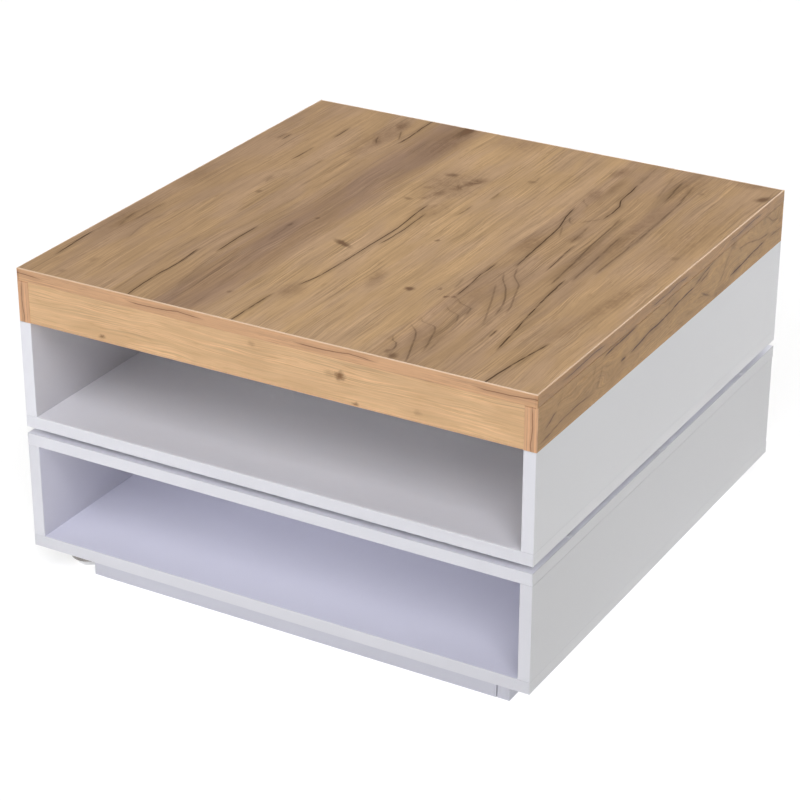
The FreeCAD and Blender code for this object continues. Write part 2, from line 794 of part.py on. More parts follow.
ball_turned = ball.newObject("PartDesign::Revolution", "swivel_balls_turned")
ball_turned.Profile = ball_sketch
ball_turned.ReferenceAxis = (ball_sketch, ["Edge2"])
ball_turned.Angle = 360
ball.Tip = ball_turned
repeat(ball, [("circle", "Z_Axis", size.ball_count)])

inner_head_low = lower_side_high - size.washer_thickness - size.inner_screw_head_height
inner_screw = screw_profile(
    size.inner_screw_head_radius, size.inner_screw_head_height, size.inner_screw_radius,
    lower_top_high + size.inner_screw_bite - inner_head_low, size.inner_screw_radius / 2
)
inner_screw_ring = [("circle", "Z_Axis", size.inner_screw_count)]
inner_first = (zero, inner_screw_circle)
turned_group("inner_ring_screws", inner_head_low, inner_first, "up", inner_screw, inner_screw_ring)
washers = new_body("inner_ring_washers", (0, 0, lower_side_high - size.washer_thickness))
washer_sketch = new_sketch(washers, "XY_Plane")
draw_circle(washer_sketch, inner_first, size.washer_radius)
draw_circle(washer_sketch, inner_first, inner_hole)
extrude(washers, washer_sketch, size.washer_thickness)
repeat(washers, inner_screw_ring)

outer_screw = screw_profile(
    size.outer_screw_head_radius, size.outer_screw_head_height, size.outer_screw_radius,
    ring_height + size.outer_screw_bite, size.outer_screw_radius
)
outer_screw_ring = [("circle", "Z_Axis", size.outer_screw_count)]
outer_first = (zero, outer_screw_circle)
turned_group("outer_ring_screws", outer_ring_low, outer_first, "up", outer_screw, outer_screw_ring)

# Round feet under the left overhang, on pads, each hung on a stud
foot_place = (size.foot_place_x - half_width, half_depth - size.foot_place_y)
foot_height = size.plinth_height - size.foot_pad_thickness
foot_bore = fit(size.foot_stud_radius)
foot_profile = [
    (zero, size.foot_radius - size.foot_chamfer),
    (size.foot_chamfer, size.foot_radius),
    (foot_height - size.foot_chamfer, size.foot_radius),
    (foot_height, size.foot_radius - size.foot_chamfer),
    (foot_height, foot_bore),
    (foot_height - size.foot_stud_depth - size.hole_end_room, foot_bore),
]
turned_group("support_feet", size.foot_pad_thickness, foot_place, "up", foot_profile, [mirror_y])
pad_profile = [
    (zero, size.foot_pad_radius - size.foot_pad_chamfer),
    (size.foot_pad_chamfer, size.foot_pad_radius),
    (size.foot_pad_thickness, size.foot_pad_radius),
]
turned_group("support_foot_pads", zero, foot_place, "up", pad_profile, [mirror_y])
stud_length = size.foot_stud_depth + size.foot_stud_bite
stud_profile = [
    (zero, size.foot_stud_radius),
    (stud_length - size.foot_stud_radius / 2, size.foot_stud_radius),
    (stud_length, size.foot_stud_radius / 2),
]
stud_low = size.plinth_height - size.foot_stud_depth
turned_group("support_foot_studs", stud_low, foot_place, "up", stud_profile, [mirror_y])
stud_places = [(foot_place[0], y) for y in (-foot_place[1], foot_place[1])]
lower_floor_board.drill("bottom", stud_places, foot_bore, size.foot_stud_bite + size.hole_end_room)

# Every feature must have worked, and every cut must have taken something away, before a file is written
doc.recompute()
for thing in doc.Objects:
    if "Invalid" in thing.State or "Error" in thing.State:
        raise RuntimeError(f"{thing.Label} failed: {thing.State}")
for before, after in cuts:
    if after.Shape.Volume >= before.Shape.Volume:
        raise RuntimeError(f"{after.Label} cuts nothing")
os.makedirs("parts", exist_ok=True)
for piece in pieces:
    shape = piece.Shape
    if shape.isNull() or not shape.isValid() or not shape.Solids:
        raise RuntimeError(f"{piece.Label} has no valid solid")
    shape.exportStep(f"parts/{piece.Label}.step")
    print(piece.Label, len(shape.Solids), round(shape.Volume))
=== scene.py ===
import math

import bpy
from mathutils import Matrix, Vector


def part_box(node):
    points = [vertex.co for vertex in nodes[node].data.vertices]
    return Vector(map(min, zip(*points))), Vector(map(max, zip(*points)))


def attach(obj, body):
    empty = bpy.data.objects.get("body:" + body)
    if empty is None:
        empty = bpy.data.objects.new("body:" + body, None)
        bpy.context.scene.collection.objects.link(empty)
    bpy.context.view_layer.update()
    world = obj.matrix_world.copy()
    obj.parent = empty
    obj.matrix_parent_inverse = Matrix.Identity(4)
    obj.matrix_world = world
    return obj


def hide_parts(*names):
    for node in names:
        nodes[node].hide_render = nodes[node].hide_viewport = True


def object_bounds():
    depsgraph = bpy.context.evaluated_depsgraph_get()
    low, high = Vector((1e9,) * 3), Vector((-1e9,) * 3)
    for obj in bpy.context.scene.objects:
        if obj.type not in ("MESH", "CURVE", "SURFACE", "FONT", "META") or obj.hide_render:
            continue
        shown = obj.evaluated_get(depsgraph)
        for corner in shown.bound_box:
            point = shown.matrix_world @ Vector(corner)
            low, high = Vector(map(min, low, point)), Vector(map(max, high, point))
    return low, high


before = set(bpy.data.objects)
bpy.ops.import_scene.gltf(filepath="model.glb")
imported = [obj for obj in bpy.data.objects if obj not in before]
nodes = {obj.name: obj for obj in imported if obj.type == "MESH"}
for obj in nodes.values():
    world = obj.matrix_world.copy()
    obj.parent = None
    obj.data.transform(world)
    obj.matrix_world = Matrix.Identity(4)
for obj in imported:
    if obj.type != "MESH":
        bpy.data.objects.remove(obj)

cadLow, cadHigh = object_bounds()
print("frame loaded:", len(nodes), "nodes")

# sizes of the table in mm, read from the frame
toMm = 1000.0
halfWidth = round(cadHigh[0] * toMm, 3)
tableTop = round(cadHigh[2] * toMm, 3)


def level(name, end):
    # height in mm of a node's underside, end 0, or of its upper face, end 1
    return round(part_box(name)[end][2] * toMm, 3)


def tint(red, green, blue):
    # a colour as seen on a screen, 0 to 255, turned into the light that it stands for
    steps = [v / 255 for v in (red, green, blue)]
    return tuple(v / 12.92 if v <= 0.04045 else ((v + 0.055) / 1.055) ** 2.4 for v in steps) + (1.0,)


class Wire:
    # a socket in a finish; + - * / % with numbers or other wires add Math nodes
    def __init__(self, finish, socket):
        self.finish = finish
        self.socket = socket

    def out(self, name):
        return Wire(self.finish, self.socket.node.outputs[name])

    def __add__(self, other):
        return self.finish.maths("ADD", self, other)

    def __radd__(self, other):
        return self.finish.maths("ADD", other, self)

    def __sub__(self, other):
        return self.finish.maths("SUBTRACT", self, other)

    def __rsub__(self, other):
        return self.finish.maths("SUBTRACT", other, self)

    def __mul__(self, other):
        return self.finish.maths("MULTIPLY", self, other)

    def __rmul__(self, other):
        return self.finish.maths("MULTIPLY", other, self)

    def __truediv__(self, other):
        return self.finish.maths("DIVIDE", self, other)

    def __rtruediv__(self, other):
        return self.finish.maths("DIVIDE", other, self)

    def __mod__(self, other):
        return self.finish.maths("FLOORED_MODULO", self, other)

    def __abs__(self):
        return self.finish.maths("ABSOLUTE", self)


# drawn lines: mm kept free beyond the surface, least place and range of places across, widest line, the soft
# halo, the gap between lines of a lane, the stops that a ramp can take, and the taper at a line's ends
drawnLines = {
    "margin": 40.0, "least": -100.0, "range": 900.0, "widest": 4.0, "core": (1.2, 0.3), "halo": (6.0, 0.0),
    "haloWeight": 0.28, "gap": 4.0, "mostStops": 30, "taper": 16.0, "taperShare": 0.3,
}


def inLanes(lines):
    # shares lines out over lanes, in each of which they follow one another with a gap between
    lanes = []
    for line in sorted(lines, key=lambda line: line[0][0][1]):
        start = line[0][0][1]
        for lane in lanes:
            isFree = lane[-1][0][-1][1] + drawnLines["gap"] < start
            stops = sum(len(drawn[0]) + 2 for drawn in lane) + len(line[0])
            if isFree and stops < drawnLines["mostStops"]:
                lane.append(line)
                break
        else:
            lanes.append([line])
    return lanes


def tapered(route):
    # a route's points with a strength each: none at both ends, full a little way in
    length = route[-1][1] - route[0][1]
    run = min(drawnLines["taper"], length * drawnLines["taperShare"])
    found = [(route[0][0], route[0][1], 0.0)]
    (c0, a0), (c1, a1) = route[:2]
    found.append((c0 + (c1 - c0) * run / (a1 - a0) if run < a1 - a0 else c1, a0 + run, 1.0))
    found += [(c, a, 1.0) for c, a in route[1:-1] if a0 + run < a < route[-1][1] - run]
    (c0, a0), (c1, a1) = route[-2:]
    found.append((c1 - (c1 - c0) * run / (a1 - a0) if run < a1 - a0 else c0, a1 - run, 1.0))
    return found + [(route[-1][0], route[-1][1], 0.0)]


class Finish:
    # one material: a shader with its fixed values, and the nodes that vary it
    def __init__(self, name, fixed):
        self.material = bpy.data.materials.new(name)
        self.material.use_nodes = True
        self.tree = self.material.node_tree
        self.tree.nodes.clear()
        self.shader = self.tree.nodes.new("ShaderNodeBsdfPrincipled")
        end = self.tree.nodes.new("ShaderNodeOutputMaterial")
        self.tree.links.new(self.shader.outputs[0], end.inputs[0])
        for socket, value in fixed.items():
            self.shader.inputs[socket].default_value = value

    def node(self, kind, settings, sockets, output=0):
        made = self.tree.nodes.new(kind)
        for name, value in settings.items():
            if name == "stops":
                self.setStops(made.color_ramp, value)
            elif name == "interpolation":
                made.color_ramp.interpolation = value
            else:
                setattr(made, name, value)
        for key, value in sockets.items():
            if isinstance(value, Wire):
                self.tree.links.new(value.socket, made.inputs[key])
            else:
                made.inputs[key].default_value = value
        return Wire(self, made.outputs[output])

    def setStops(self, ramp, stops):
        for i, (place, colour) in enumerate(stops):
            if i < 2:
                stop = ramp.elements[i]
                stop.position = place
            else:
                stop = ramp.elements.new(place)
            stop.color = colour if isinstance(colour, tuple) else (colour, colour, colour, 1.0)

    def maths(self, operation, *terms, clamp=False):
        settings = {"operation": operation, "use_clamp": clamp}
        return self.node("ShaderNodeMath", settings, dict(enumerate(terms)))

    def clip(self, value):
        return self.maths("ADD", value, 0.0, clamp=True)

    def largest(self, first, second):
        return self.maths("MAXIMUM", first, second)

    def above(self, value, limit):
        return self.maths("GREATER_THAN", value, limit)

    def place(self):
        # x, y and z of the surface in millimetres, in the table's own frame
        split = self.node("ShaderNodeSeparateXYZ", {}, {0: self.node("ShaderNodeTexCoord", {}, {}, "Object")})
        return [split.out(axis) * toMm for axis in "XYZ"]

    def vector(self, x, y, z):
        return self.node("ShaderNodeCombineXYZ", {}, {"X": x, "Y": y, "Z": z})

    def noise(self, x, y, z, detail=2.0, roughness=0.5, distortion=0.0):
        sockets = {"Vector": self.vector(x, y, z), "Scale": 1.0, "Detail": detail, "Roughness": roughness}
        sockets["Distortion"] = distortion
        return self.node("ShaderNodeTexNoise", {"noise_dimensions": "3D"}, sockets)

    def smooth(self, value, low, high):
        # 0 up to low, 1 from high on, eased between them
        sockets = {"Value": value, "From Min": low, "From Max": high}
        return self.node("ShaderNodeMapRange", {"interpolation_type": "SMOOTHSTEP"}, sockets)

    def ramp(self, value, stops, interpolation="LINEAR"):
        return self.node("ShaderNodeValToRGB", {"interpolation": interpolation, "stops": stops}, {0: value})

    def mix(self, factor, first, second, way="MIX"):
        settings = {"data_type": "RGBA", "blend_type": way}
        return self.node("ShaderNodeMix", settings, {0: factor, 6: first, 7: second}, 2)

    def scaled(self, colour, factor):
        colour = colour[:3] if isinstance(colour, tuple) else colour
        return self.node("ShaderNodeVectorMath", {"operation": "SCALE"}, {0: colour, "Scale": factor})

    def feed(self, socket, wire):
        self.tree.links.new(wire.socket, self.shader.inputs[socket])

    def bump(self, height, strength, distance):
        sockets = {"Strength": strength, "Distance": distance, "Height": height}
        self.feed("Normal", self.node("ShaderNodeBump", {}, sockets))

    def strokes(self, across, along, lines, reach):
        # darkness of the lines drawn over a surface: one ramp holds all the lines of a lane
        margin, widest = drawnLines["margin"], drawnLines["widest"]
        whole = reach + margin * 2
        share = (along + margin) * (1 / whole)
        found = 0.0
        for lane in inLanes(lines):
            stops = []
            for route, width, weight in lane:
                for c, a, ends in tapered(route):
                    placeShare = (c - drawnLines["least"]) / drawnLines["range"]
                    stops.append(((a + margin) / whole, (placeShare, width / widest, weight * ends, 1.0)))
            drawn = self.node("ShaderNodeSeparateColor", {}, {0: self.ramp(share, stops)})
            centre = drawn.out("Red") * drawnLines["range"] + drawnLines["least"]
            offCentre = abs(centre - across) / (drawn.out("Green") * widest)
            core = self.smooth(offCentre, *drawnLines["core"])
            halo = self.smooth(offCentre, *drawnLines["halo"]) * drawnLines["haloWeight"]
            found = self.largest(found, self.largest(core, halo) * drawn.out("Blue"))
        return found

    def spots(self, point, places):
        # ovals that fade from their middles to their rims
        found = 0.0
        for middle, reach, turn, weight in places:
            sockets = {"Vector": point, "Location": middle + (0.0,), "Rotation": (0.0, 0.0, turn)}
            sockets["Scale"] = reach + (1.0,)
            moved = self.node("ShaderNodeMapping", {"vector_type": "TEXTURE"}, sockets)
            far = self.node("ShaderNodeVectorMath", {"operation": "LENGTH"}, {0: moved}, "Value")
            sockets = {"Value": far, "From Min": 1.0, "From Max": 0.1, "To Max": weight}
            spot = self.node("ShaderNodeMapRange", {"interpolation_type": "SMOOTHSTEP"}, sockets)
            found = self.largest(found, spot)
        return found


def dress(finish, *names):
    # gives CAD nodes a finish in every slot
    for name in names:
        mesh = nodes[name].data
        if not mesh.materials:
            mesh.materials.append(finish.material)
        for i in range(len(mesh.materials)):
            mesh.materials[i] = finish.material


# light that reaches each face and the sheen on it: a colour seen in the photo, less these, is the paint
faceLight = {"top": (1.04, 0.03), "front": (0.92, 0.03), "right": (0.72, 0.05)}
paintLimits = {"least": 0.004, "most": 0.95}


def paint(seen, face):
    light, sheen = faceLight[face]
    shares = [(v - sheen) / light for v in tint(*seen)[:3]]
    return tuple(min(paintLimits["most"], max(paintLimits["least"], v)) for v in shares) + (1.0,)


# grain of all the oak: noises by mm across, mm along and shift, then detail, roughness and weight
oakLooks = {
    "broad": [(34, 240, 0.0, 2.0, 0.5, 0.34), (15, 45, 2.0, 2.0, 0.5, 0.18), (8, 220, 0.0, 2.0, 0.6, 0.18)],
    "fine": [(2.8, 180, 0.0, 1.0, 0.5, 0.5), (1.3, 130, 0.0, 1.0, 0.5, 0.9)],
    "fineLeast": 0.45, "fineGain": 0.75, "poreLeast": 0.4, "poreGain": 0.6,
    # patches of a noise: mm across, mm along, shift, detail, and the limits that it rises between
    "clear": (24, 100, 5.0, 2.0, 0.38, 0.64), "pores": (1.2, 22, 3.0, 1.0, 0.56, 0.68),
    "flecks": (1.3, 60, 17.0, 1.0, 0.58, 0.70), "whole": (4, 22, 2.6, 2.0, 0.30, 0.52), "wholeLeast": 0.55,
    # rims of knots and smudges shaken by a noise
    "shakePitch": 5, "shake": 4.0, "poreGloss": 0.08, "reliefHeight": 0.0002,
}


def grainLayers(finish, across, along, phase, layers):
    # noises stretched along the grain, added up around 0
    found = 0.0
    for wide, far, shift, detail, roughness, weight in layers:
        shifted = phase + shift if shift else phase
        found = found + (finish.noise(across / wide, along / far, shifted, detail, roughness) - 0.5) * weight
    return found


def grainPatch(finish, across, along, phase, patch, roughness=0.5):
    # 1 where a noise stretched along the grain is high, 0 where it is low
    wide, far, shift, detail, low, high = patch
    found = finish.noise(across / wide, along / far, phase + shift, detail, roughness)
    return finish.smooth(found, low, high)


def oakGrain(finish, across, along, phase, strength):
    # brightness of the oak around 1, and its short dark pores
    clear = grainPatch(finish, across, along, phase, oakLooks["clear"])
    fine = grainLayers(finish, across, along, phase, oakLooks["fine"])
    fine = fine * (oakLooks["fineLeast"] + clear * oakLooks["fineGain"])
    body = grainLayers(finish, across, along, phase, oakLooks["broad"]) + fine
    pores = grainPatch(finish, across, along, phase, oakLooks["pores"])
    return body * strength + 1, pores * (oakLooks["poreLeast"] + clear * oakLooks["poreGain"])


def wavered(finish, across, along, way):
    # places across, pushed to and fro on the way along
    wide, far, shift, roughness, push = way
    return across + (finish.noise(across / wide, along / far, shift, 2.0, roughness) - 0.5) * push


def curled(finish, across, along, looks):
    # curled figure: thin ridges and broad patches of one twisted noise
    wide, far, shift, twist = looks["curl"]
    curl = finish.noise(across / wide, along / far, shift, 3.0, 0.6, twist)
    sharpness, weight = looks["curlRidges"]
    ridges = finish.clip(1 - abs(curl - 0.5) * sharpness) * weight
    return finish.largest(ridges, finish.smooth(curl, *looks["curlPatches"]))


def ragged(finish, across, along):
    # places shaken a little, for the rims of knots
    pitch, reach = oakLooks["shakePitch"], oakLooks["shake"]
    shake = finish.node("ShaderNodeTexNoise", {}, {
        "Vector": finish.vector(across / pitch, along / pitch, 7.7), "Scale": 1.0, "Detail": 3.0,
        "Roughness": 0.7,
    }, "Color")
    shake = finish.node("ShaderNodeVectorMath", {"operation": "MULTIPLY_ADD"}, {
        0: shake, 1: (reach * 2, reach * 2, 0.0), 2: (-reach, -reach, 0.0),
    })
    spot = finish.vector(across, along, 0.0)
    return finish.node("ShaderNodeVectorMath", {"operation": "ADD"}, {0: spot, 1: shake})


def broken(finish, across, along):
    # lines that fade in places
    whole = grainPatch(finish, across, along, 0.0, oakLooks["whole"], 0.6)
    return oakLooks["wholeLeast"] + whole * (1 - oakLooks["wholeLeast"])


def oakSurface(finish, relief, pores, varied, sunk):
    # duller in the pores and where the figure varies, with pores and cracks a little sunk
    roughness, poreDepth, strength = relief
    finish.feed("Roughness", roughness + pores * oakLooks["poreGloss"] + varied)
    finish.bump(0.0 - pores * poreDepth - sunk, strength, oakLooks["reliefHeight"])


# oak decor of the top board: places in mm from the left edge and from the back edge
topOak = {
    # left edge, blend at both edges, darkness at left and right, shift of the grain
    "planks": [
        (0, 1.0, 0.46, 0.24, 0.13), (132, 14.0, 0.36, 0.36, 0.71), (192, 18.0, 0.88, 0.78, 0.37),
        (265, 10.0, 0.11, 0.06, 0.93), (384, 1.5, 0.06, 0.08, 0.22), (485, 1.0, 0.46, 0.36, 0.58),
        (611, 1.0, 0.24, 0.18, 0.82),
    ],
    "paleTint": (193, 162, 125), "darkTint": (154, 128, 106), "fleckTint": (212, 183, 144),
    "warmCast": (1.02, 1.0, 0.97, 1.0), "coolCast": (0.99, 0.985, 1.06, 1.0),
    "width": halfWidth * 2, "shifts": 40.0, "cast": (30, 130, 9.0, 2.0, 0.38, 0.62),
    # mm across, mm along, shift of the noise, roughness and mm of push
    "bend": (90, 210, 3.7, 0.5, 20.0), "waver": (30, 26, 8.2, 0.6, 2.0),
    # mm across, mm along, shift and twist; sharpness and weight; limits
    "curl": (13, 20, 5.1, 1.8), "curlRidges": (12.0, 0.7), "curlPatches": (0.46, 0.64),
    # dark cracks with their widths
    "crackWeight": 0.88,
    "cracks": [
        ([(181, -20), (181, 30), (184, 70), (184, 104)], 1.3),
        ([(95, 76), (96, 105), (97, 132)], 1.0),
        ([(92, 165), (92, 200), (91, 228)], 1.0),
        ([(31, 138), (31, 168)], 1.0),
        ([(38, 138), (39, 168)], 0.9),
        ([(179, 440), (178, 490), (180, 542)], 1.2),
        ([(155, 536), (158, 570), (160, 590), (158, 620), (158, 660), (162, 710)], 1.2),
        ([(10, 556), (13, 595), (15, 625), (16, 648)], 1.5),
        (
            [(327, 272), (328, 310), (333, 362), (331, 420), (330, 470), (329, 510), (326, 545), (319, 580)],
            1.3,
        ),
        ([(339, 300), (340, 330), (342, 360), (341, 390), (339, 425)], 1.0),
        ([(307, 606), (306, 650), (306, 745)], 1.3),
        ([(528, 74), (531, 105), (533, 140), (540, 158), (542, 185), (541, 212)], 1.4),
        ([(492, 186), (497, 225), (505, 258), (508, 290), (511, 330), (513, 360), (517, 402)], 1.3),
        ([(492, 396), (491, 440), (495, 480), (496, 516)], 1.1),
        ([(585, 400), (588, 450), (594, 510), (600, 556), (604, 590), (608, 624)], 1.5),
        ([(651, 572), (645, 610), (640, 645), (637, 672), (632, 720)], 1.6),
        ([(547, 300), (550, 340), (554, 394)], 0.8),
        ([(582, 570), (584, 594)], 1.4),
    ],
    # softer lines with their weights
    "softWidth": 1.9,
    "softLines": [
        ([(487, 152), (494, 168), (503, 178), (507, 186)], 0.28),
        ([(541, 204), (536, 214), (528, 224), (518, 236)], 0.38),
        ([(502, 220), (505, 231), (509, 240), (518, 246)], 0.44),
        ([(505, 248), (512, 268), (521, 292)], 0.33),
        ([(536, 236), (538, 262), (539, 280), (540, 302)], 0.51),
        ([(559, 190), (562, 230), (566, 300), (572, 360), (577, 430)], 0.51),
        ([(585, 246), (588, 310), (592, 370), (594, 408)], 0.51),
        ([(557, 24), (562, 60), (566, 85), (571, 116)], 0.28),
        ([(574, 36), (578, 70), (582, 100), (585, 124)], 0.51),
        ([(593, 46), (602, 110), (606, 190), (608, 260), (609, 376)], 0.51),
        ([(524, 4), (526, 40), (529, 84)], 0.33),
        ([(518, 394), (528, 425), (545, 445), (556, 478), (565, 505), (571, 530)], 0.44),
        ([(511, 418), (521, 440), (535, 460), (548, 485), (556, 510), (562, 540)], 0.51),
        ([(518, 452), (530, 480), (545, 520), (556, 550), (562, 570)], 0.39),
        ([(496, 510), (510, 515), (520, 523), (528, 533), (531, 545), (534, 564)], 0.44),
        ([(496, 535), (508, 540), (518, 547), (524, 556), (530, 570), (535, 586)], 0.33),
        ([(488, 580), (500, 582), (510, 587), (517, 597), (523, 610), (532, 640), (539, 668)], 0.44),
        ([(486, 602), (504, 620), (511, 632), (521, 660), (527, 675), (537, 705)], 0.51),
        ([(486, 640), (494, 650), (500, 657), (505, 668), (509, 690)], 0.51),
        ([(538, 610), (540, 640), (543, 668)], 0.33),
        ([(161, 52), (168, 68), (178, 92)], 0.50),
        ([(145, 86), (151, 104), (159, 118)], 0.50),
        ([(128, 200), (128, 260), (129, 350), (131, 420)], 0.28),
        ([(157, 180), (155, 250), (152, 300)], 0.22),
        ([(176, 170), (174, 240), (170, 310)], 0.22),
        ([(102, 284), (103, 300), (106, 314)], 0.38),
        ([(34, 430), (34, 470), (35, 510)], 0.33),
        ([(19, 476), (22, 500), (31, 538)], 0.33),
        ([(57, 464), (52, 490), (54, 520), (60, 548), (62, 564)], 0.28),
        ([(134, 500), (134, 560), (137, 640), (141, 705)], 0.28),
        ([(184, 540), (188, 590), (196, 650)], 0.22),
        ([(211, 404), (212, 425), (215, 480)], 0.28),
        ([(235, 540), (239, 620), (246, 705)], 0.22),
        ([(377, 246), (378, 268), (375, 296)], 0.50),
        ([(386, 190), (388, 206), (387, 224)], 0.44),
        ([(451, 20), (452, 80), (453, 118)], 0.22),
        ([(478, 456), (482, 478), (484, 496)], 0.33),
        ([(404, 110), (408, 130), (405, 152)], 0.28),
        ([(672, 60), (676, 140), (674, 230), (676, 330)], 0.17),
    ],
    # middle, reach, turn and weight
    "knots": [
        ((229, 384), (4, 6), 0.0, 0.6), ((299, 439), (24, 8), 0.45, 0.85), ((395, 373), (5, 7), 0.0, 0.6),
        ((438.5, 519), (9, 9), 0.0, 0.85), ((470, 501), (4, 6), 0.0, 0.6), ((487, 518), (5, 5), 0.0, 0.7),
        ((495, 514), (5, 5), 0.0, 0.6), ((116, 343), (6, 9), 0.0, 0.5), ((211, 420), (4, 10), 0.0, 0.4),
        ((294, 269), (10, 7), 0.3, 0.45), ((260, 632), (4, 7), 0.0, 0.5), ((689, 46), (11, 18), 0.5, 0.8),
        ((241, 4), (13, 52), 0.0, 1.0), ((514, 690), (10, 12), -0.4, 0.7), ((503, 682), (5, 9), 0.0, 0.5),
        ((613, 68), (6, 7), 0.0, 0.35), ((671, 280), (7, 10), 0.0, 0.35), ((65, 634), (6, 12), 0.0, 0.3),
        ((405, 138), (10, 7), -0.2, 0.35), ((53, 680), (7, 9), 0.0, 0.3), ((305, 168), (10, 6), -0.5, 0.3),
        ((331, 197), (9, 7), 0.3, 0.3), ((322, 231), (6, 8), 0.0, 0.25),
    ],
    "smudges": [
        ((341, 178), (17, 34), 0.3, 0.95), ((330, 206), (18, 22), 0.0, 0.9),
        ((321, 232), (15, 26), 0.3, 0.75), ((304, 168), (20, 16), -0.4, 0.8),
        ((296, 192), (17, 15), 0.0, 0.5), ((298, 222), (14, 13), 0.0, 0.55), ((312, 252), (12, 20), 0.3, 0.6),
        ((320, 200), (60, 84), 0.0, 0.5), ((340, 290), (28, 66), 0.0, 0.4), ((154, 40), (17, 32), -0.2, 0.85),
        ((153, 108), (15, 32), -0.4, 0.7), ((150, 90), (34, 100), 0.0, 0.45),
        ((148, 152), (16, 34), 0.0, 0.4), ((20, 500), (34, 100), 0.0, 0.4), ((10, 330), (40, 70), 0.0, 0.35),
        ((497, 325), (22, 50), 0.0, 0.55), ((490, 52), (15, 28), 0.0, 0.6),
        ((498, 140), (16, 34), -0.3, 0.55), ((507, 105), (10, 46), 0.0, 0.4),
        ((664, 430), (18, 140), 0.12, 0.5), ((650, 530), (14, 100), 0.12, 0.35),
        ((388, 512), (15, 40), -0.2, 0.6), ((320, 592), (24, 34), 0.0, 0.5),
        ((540, 282), (10, 26), 0.0, 0.55), ((240, 60), (30, 120), 0.0, 0.6), ((586, 60), (30, 100), 0.0, 0.4),
        ((660, 4), (38, 26), 0.0, 0.5), ((330, 20), (60, 44), 0.0, 0.35), ((592, 220), (18, 200), 0.0, 0.5),
        ((572, 330), (12, 120), 0.0, 0.4), ((512, 500), (34, 80), 0.0, 0.3), ((520, 620), (30, 70), 0.0, 0.3),
        ((660, 230), (44, 150), 0.0, 0.25),
    ],
    "smudgeLeast": 0.5, "smudgeCurl": 0.45, "poreWeight": 0.28, "fleckWeight": 0.2,
    "heart": (0.5, 0.9), "heartWeight": 0.6, "heartTint": (138, 108, 86), "knotTint": (104, 83, 68),
    "crackTint": (76, 62, 52), "smudgeTint": (122, 97, 78), "poreTint": (134, 108, 82),
    "backing": (230, 229, 229), "backingRim": (0.3, 0.1),
    # roughness, depth of the pores and strength
    "relief": (0.42, 0.6, 0.25), "bodyGloss": 0.04,
}


def makeTopOak(looks):
    finish = Finish("topOakDecor", {"Specular IOR Level": 0.35})
    x, y, z = finish.place()
    across = x + halfWidth
    along = halfWidth - y
    width = looks["width"]
    bent = wavered(finish, across, along, looks["bend"])
    share = across * (1 / width)
    rights = [plank[0] for plank in looks["planks"][1:]] + [width]
    shifts, darkness = [], []
    for (left, blend, darkLeft, darkRight, shift), rightEdge in zip(looks["planks"], rights):
        shifts.append((left / width, shift))
        darkness.append(((left + blend) / width, darkLeft))
        darkness.append(((rightEdge - blend) / width, darkRight))
    phase = finish.ramp(share, shifts, "CONSTANT") * looks["shifts"]
    dark = finish.ramp(share, darkness)
    tone = finish.mix(dark, paint(looks["paleTint"], "top"), paint(looks["darkTint"], "top"))
    body, pores = oakGrain(finish, bent, along, phase, 1.0)
    colour = finish.scaled(tone, body)
    # golden and browner patches, and pale flecks
    cast = grainPatch(finish, bent, along, phase, looks["cast"])
    colour = finish.mix(1.0, colour, finish.mix(cast, looks["warmCast"], looks["coolCast"]), "MULTIPLY")
    clear = grainPatch(finish, bent, along, phase, oakLooks["clear"])
    flecks = grainPatch(finish, bent, along, phase, oakLooks["flecks"]) * clear
    colour = finish.mix(flecks * looks["fleckWeight"], colour, paint(looks["fleckTint"], "top"))
    # brown smudges with a curled grain
    curls = curled(finish, across, along, looks)
    shaken = ragged(finish, across, along)
    smudged = finish.spots(shaken, looks["smudges"]) * (looks["smudgeLeast"] + curls * looks["smudgeCurl"])
    colour = finish.mix(smudged, colour, paint(looks["smudgeTint"], "top"))
    colour = finish.mix(pores * looks["poreWeight"], colour, paint(looks["poreTint"], "top"))
    knots = finish.spots(shaken, looks["knots"])
    colour = finish.mix(knots, colour, paint(looks["knotTint"], "top"))
    hearts = finish.smooth(knots, *looks["heart"]) * looks["heartWeight"]
    colour = finish.mix(hearts, colour, paint(looks["heartTint"], "top"))
    wavy = wavered(finish, across, along, looks["waver"])
    drawn = [(route, lineWidth, looks["crackWeight"]) for route, lineWidth in looks["cracks"]]
    drawn += [(route, looks["softWidth"], weight) for route, weight in looks["softLines"]]
    lines = finish.strokes(wavy, along, drawn, width) * broken(finish, across, along)
    colour = finish.mix(lines, colour, paint(looks["crackTint"], "top"))
    # the underside has a white backing sheet
    rimHigh, rimLow = (level("top_board", 0) + rise for rise in looks["backingRim"])
    colour = finish.mix(finish.smooth(z, rimHigh, rimLow), colour, tint(*looks["backing"]))
    finish.feed("Base Color", colour)
    oakSurface(finish, looks["relief"], pores, body * looks["bodyGloss"], lines)
    return finish


dress(makeTopOak(topOak), "top_board")
print("top board dressed")

